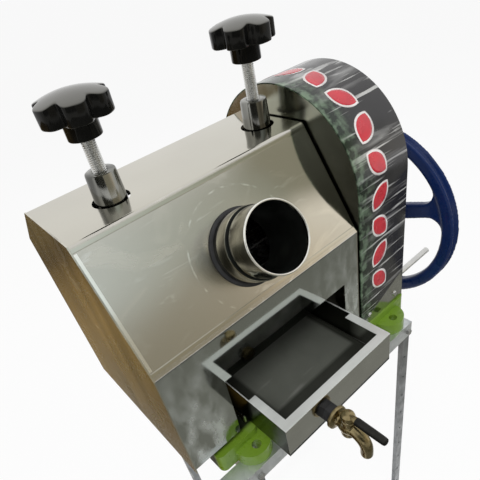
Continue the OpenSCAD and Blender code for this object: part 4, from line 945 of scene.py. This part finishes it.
# Printed motifs on the guard: plain red lozenges with a pale edge, in a row along the band
MOTIF_X, MOTIF_LIFT, FILL_LIFT, INK_T = GUARD_LEFT + 40.0, 0.18, 0.15, 0.12
MOTIF_ROWS, MOTIF_COLUMNS, MOTIF_ROUND, MOTIF_TIP = 8, 4, 0.8, 0.03
MOTIF_EDGE, MOTIF_FILL = (21.0, 14.4), (17.9, 11.5)


def band_point(s, x, lift):
    """A point on the guard's band: s runs up the front from its bottom and over the arch."""
    straight = GUARD_Z - SILL_H
    if s < straight:
        return mill(x, -GUARD_R - lift, SILL_H + s)
    a = math.pi - (s - straight) / GUARD_R
    return mill(x, (GUARD_R + lift) * math.cos(a), GUARD_Z + (GUARD_R + lift) * math.sin(a))


def motif(name, s_mid, tilt, half_s, half_x, lift, material):
    """A thin leaf that follows the band, turned by tilt in the band's own plane."""
    rings = []
    c, s_turn = math.cos(tilt), math.sin(tilt)
    for k in range(-MOTIF_ROWS, MOTIF_ROWS + 1):
        share = k / MOTIF_ROWS
        along = half_s * share
        width = max((1 - share ** 2) ** MOTIF_ROUND, MOTIF_TIP) * half_x
        row = []
        for j in range(-MOTIF_COLUMNS, MOTIF_COLUMNS + 1):
            across = width * j / MOTIF_COLUMNS
            row.append(band_point(s_mid + along * c - across * s_turn, MOTIF_X + along * s_turn + across * c, lift))
        rings.append(row)
    points, faces = loft(rings, closed_ring=False, cap=False)
    obj = add_object(name, mesh_from(name, points, faces), INK_SHARP)
    thick = obj.modifiers.new("film", "SOLIDIFY")
    thick.thickness = INK_T * MM
    thick.offset = -1
    finish_piece(obj, material, "mill", "guard_sheet")


def print_ink(name, color):
    p = Paint(name, color, 0.24, coat=0.4)
    p.shades(p.noise(60, 5), 0.85, 1.12)
    p.link(p.span(p.noise(70, 5), 0.16, 0.34), "Roughness")
    return p.mat


RED_INK = print_ink("red_ink", (0.55, 0.018, 0.035))
PALE_INK = print_ink("pale_ink", (0.78, 0.74, 0.72))
MOTIF_PITCH, MOTIF_FIRST, MOTIF_COUNT, MOTIF_TILT = 43.0, 68.0, 10, 42
for i in range(MOTIF_COUNT):
    s_mid, tilt = MOTIF_FIRST + i * MOTIF_PITCH, math.radians(MOTIF_TILT if i % 2 else -MOTIF_TILT)
    motif(f"motif_edge_{i}", s_mid, tilt, *MOTIF_EDGE, MOTIF_LIFT, PALE_INK)
    motif(f"motif_fill_{i}", s_mid, tilt, *MOTIF_FILL, MOTIF_LIFT + FILL_LIFT, RED_INK)


# Studio, in metres of the row frame: a white floor that keeps a soft shadow, cards that only reflections see,
# and lamps

def emitter(name, build):
    mat = bpy.data.materials.new(name)
    mat.use_nodes = True
    tree = mat.node_tree
    tree.nodes.clear()
    build(tree, tree.nodes.new("ShaderNodeOutputMaterial"))
    return mat


FLOOR, FLOOR_GLOW = 40, 0.90


def floor_shader(tree, out):
    """White to the camera and in reflections, with a faint share of real shading for the shadow."""
    rays = tree.nodes.new("ShaderNodeLightPath").outputs
    seen = math_node(tree, "MAXIMUM", rays["Is Camera Ray"], rays["Is Glossy Ray"])
    matte = tree.nodes.new("ShaderNodeBsdfDiffuse")
    give(tree, matte.inputs["Color"], (0.9, 0.9, 0.9))
    glow = tree.nodes.new("ShaderNodeEmission")
    mix = tree.nodes.new("ShaderNodeMixShader")
    give(tree, mix.inputs["Fac"], math_node(tree, "MULTIPLY", seen, FLOOR_GLOW))
    give(tree, mix.inputs[1], matte.outputs[0])
    give(tree, mix.inputs[2], glow.outputs[0])
    give(tree, out.inputs["Surface"], mix.outputs[0])


def card_shader(axis, low, high, stops, wander, scale, lower=None):
    """Glow that runs through the stops from low to high along one axis, with a soft wander. With lower, a
    height, a height and more stops, those stops show below the first height and fade out by the second."""
    def build(tree, out):
        coords = tree.nodes.new("ShaderNodeTexCoord").outputs["Object"]
        parts = tree.nodes.new("ShaderNodeSeparateXYZ")
        give(tree, parts.inputs["Vector"], coords)
        tex = tree.nodes.new("ShaderNodeTexNoise")
        for key, value in (("Vector", coords), ("Scale", scale), ("Detail", 2)):
            give(tree, tex.inputs[key], value)

        def wavy(value):
            return math_node(tree, "MULTIPLY_ADD", tex.outputs["Fac"], wander, value)

        along = wavy(map_range(tree, parts.outputs[axis], 0, 1, low, high))
        color = color_ramp(tree, along, stops)
        if lower:
            foot, head, lower_stops = lower
            rise = map_range(tree, wavy(parts.outputs["Z"]), 0, 1, foot, head, "SMOOTHSTEP")
            color = mix_colors(tree, rise, color_ramp(tree, along, lower_stops), color)
        glow = tree.nodes.new("ShaderNodeEmission")
        give(tree, glow.inputs["Color"], color)
        give(tree, out.inputs["Surface"], glow.outputs[0])
    return build


def quad(name, corners, material):
    obj = add_object(name, mesh_from(name, corners, [(0, 1, 2, 3)]))
    paint(obj, material)
    return obj


quad("floor", [(-FLOOR, -FLOOR, 0), (FLOOR, -FLOOR, 0), (FLOOR, FLOOR, 0), (-FLOOR, FLOOR, 0)],
     emitter("floor_white", floor_shader))


def card(name, corners, *shader):
    """A studio card that shows in polished metal only."""
    obj = quad(name, corners, emitter(name, card_shader(*shader)))
    obj.visible_camera = False
    obj.visible_diffuse = False
    obj.visible_shadow = False


card("front_card", [(-0.8, -2.2, 0.5), (2.9, -2.2, 0.5), (2.9, -2.2, 2.9), (-0.8, -2.2, 2.9)],
     "X", 0.0, 2.2, [(0.28, (0.80, 0.88, 0.88)), (0.50, (0.60, 0.65, 0.60)), (0.68, (0.50, 0.53, 0.46)),
                     (0.85, (0.40, 0.42, 0.35)), (1.0, (0.36, 0.35, 0.27))], 0.3, 1.6,
     (1.80, 2.16, [(0.25, (0.36, 0.33, 0.25)), (0.50, (0.42, 0.38, 0.29)), (0.62, (0.58, 0.50, 0.39)),
                   (0.75, (0.78, 0.68, 0.52)), (0.95, (1.0, 0.95, 0.84))]))
card("corner_card", [(-2.9, -0.7, 0.7), (-0.9, -2.5, 0.7), (-0.9, -2.5, 2.9), (-2.9, -0.7, 2.9)],
     "Z", 0.7, 2.9, [(0.1, (0.03, 0.03, 0.025)), (0.5, (0.07, 0.07, 0.06)), (1.0, (0.22, 0.23, 0.22))], 0.2, 1.6)
card("left_floor_card", [(-3.2, -0.2, 0.01), (-0.34, -0.2, 0.01), (-0.34, 3.0, 0.01), (-3.2, 3.0, 0.01)],
     "Y", 0.0, 2.4, [(0.32, (0.11, 0.067, 0.012)), (0.48, (0.21, 0.137, 0.036)), (0.60, (0.30, 0.196, 0.065)),
                     (0.76, (0.24, 0.155, 0.05)), (0.86, (0.09, 0.057, 0.02)), (1.0, (0.14, 0.095, 0.03))], 0.3, 5.0)
card("front_floor_card", [(-2.6, -2.8, 0.012), (2.2, -2.8, 0.012), (2.2, -0.3, 0.012), (-2.6, -0.3, 0.012)],
     "Y", -2.6, -0.3, [(0.1, (0.05, 0.05, 0.045)), (0.6, (0.16, 0.16, 0.14)), (1.0, (0.24, 0.24, 0.21))], 0.3, 2.4)


def area_lamp(name, place, aim, size, power):
    """A soft lamp that polished metal doesn't show."""
    data = bpy.data.lights.new(name, "AREA")
    data.shape = "RECTANGLE"
    data.size, data.size_y = size
    data.energy = power
    lamp = bpy.data.objects.new(name, data)
    lamp.location = place
    lamp.rotation_euler = (Vector(aim) - Vector(place)).to_track_quat("-Z", "Y").to_euler()
    lamp.visible_glossy = False
    bpy.context.scene.collection.objects.link(lamp)


AIM = (0.0, 0.0, 0.85)
area_lamp("key", (-1.1, -0.9, 2.5), AIM, (1.1, 0.8), 26)
area_lamp("fill", (1.8, -1.6, 1.9), AIM, (1.6, 1.2), 14)
area_lamp("back", (0.4, 1.9, 2.3), AIM, (1.4, 0.8), 16)

# World: white where it shows, dimmer as a light
world = bpy.data.worlds.new("studio")
bpy.context.scene.world = world
world.use_nodes = True
WORLD_DIM = 0.45
background = world.node_tree.nodes["Background"]
give(world.node_tree, background.inputs["Color"], (1, 1, 1))
world_rays = world.node_tree.nodes.new("ShaderNodeLightPath").outputs
direct = math_node(world.node_tree, "MAXIMUM", world_rays["Is Camera Ray"], world_rays["Is Glossy Ray"])
direct = math_node(world.node_tree, "MAXIMUM", direct, world_rays["Is Transmission Ray"])
give(world.node_tree, background.inputs["Strength"], map_range(world.node_tree, direct, WORLD_DIM, 1.0, 0, 1))

# Camera fitted to the photograph: right, down and forward directions, place, and the off-centre middle
CAMERA_RIGHT = Vector((0.738185, -0.650313, -0.179375))
CAMERA_DOWN = Vector((-0.518186, -0.376367, -0.768005))
CAMERA_AHEAD = Vector((0.431933, 0.659879, -0.614812))
CAMERA_PLACE = mill(-220.503, -413.377, 509.525)
camera_data = bpy.data.cameras.new("camera")
camera_data.sensor_width = 36
camera_data.lens = 33.584
camera_data.shift_x = -0.0053
camera_data.shift_y = 0.0905
camera_data.clip_start = 0.02
camera = bpy.data.objects.new("camera", camera_data)
turn = Matrix((CAMERA_RIGHT, -CAMERA_DOWN, -CAMERA_AHEAD)).transposed()
camera.matrix_world = Matrix.Translation(CAMERA_PLACE) @ turn.to_4x4()
bpy.context.scene.collection.objects.link(camera)
bpy.context.scene.camera = camera
bpy.context.scene.view_settings.view_transform = "Standard"
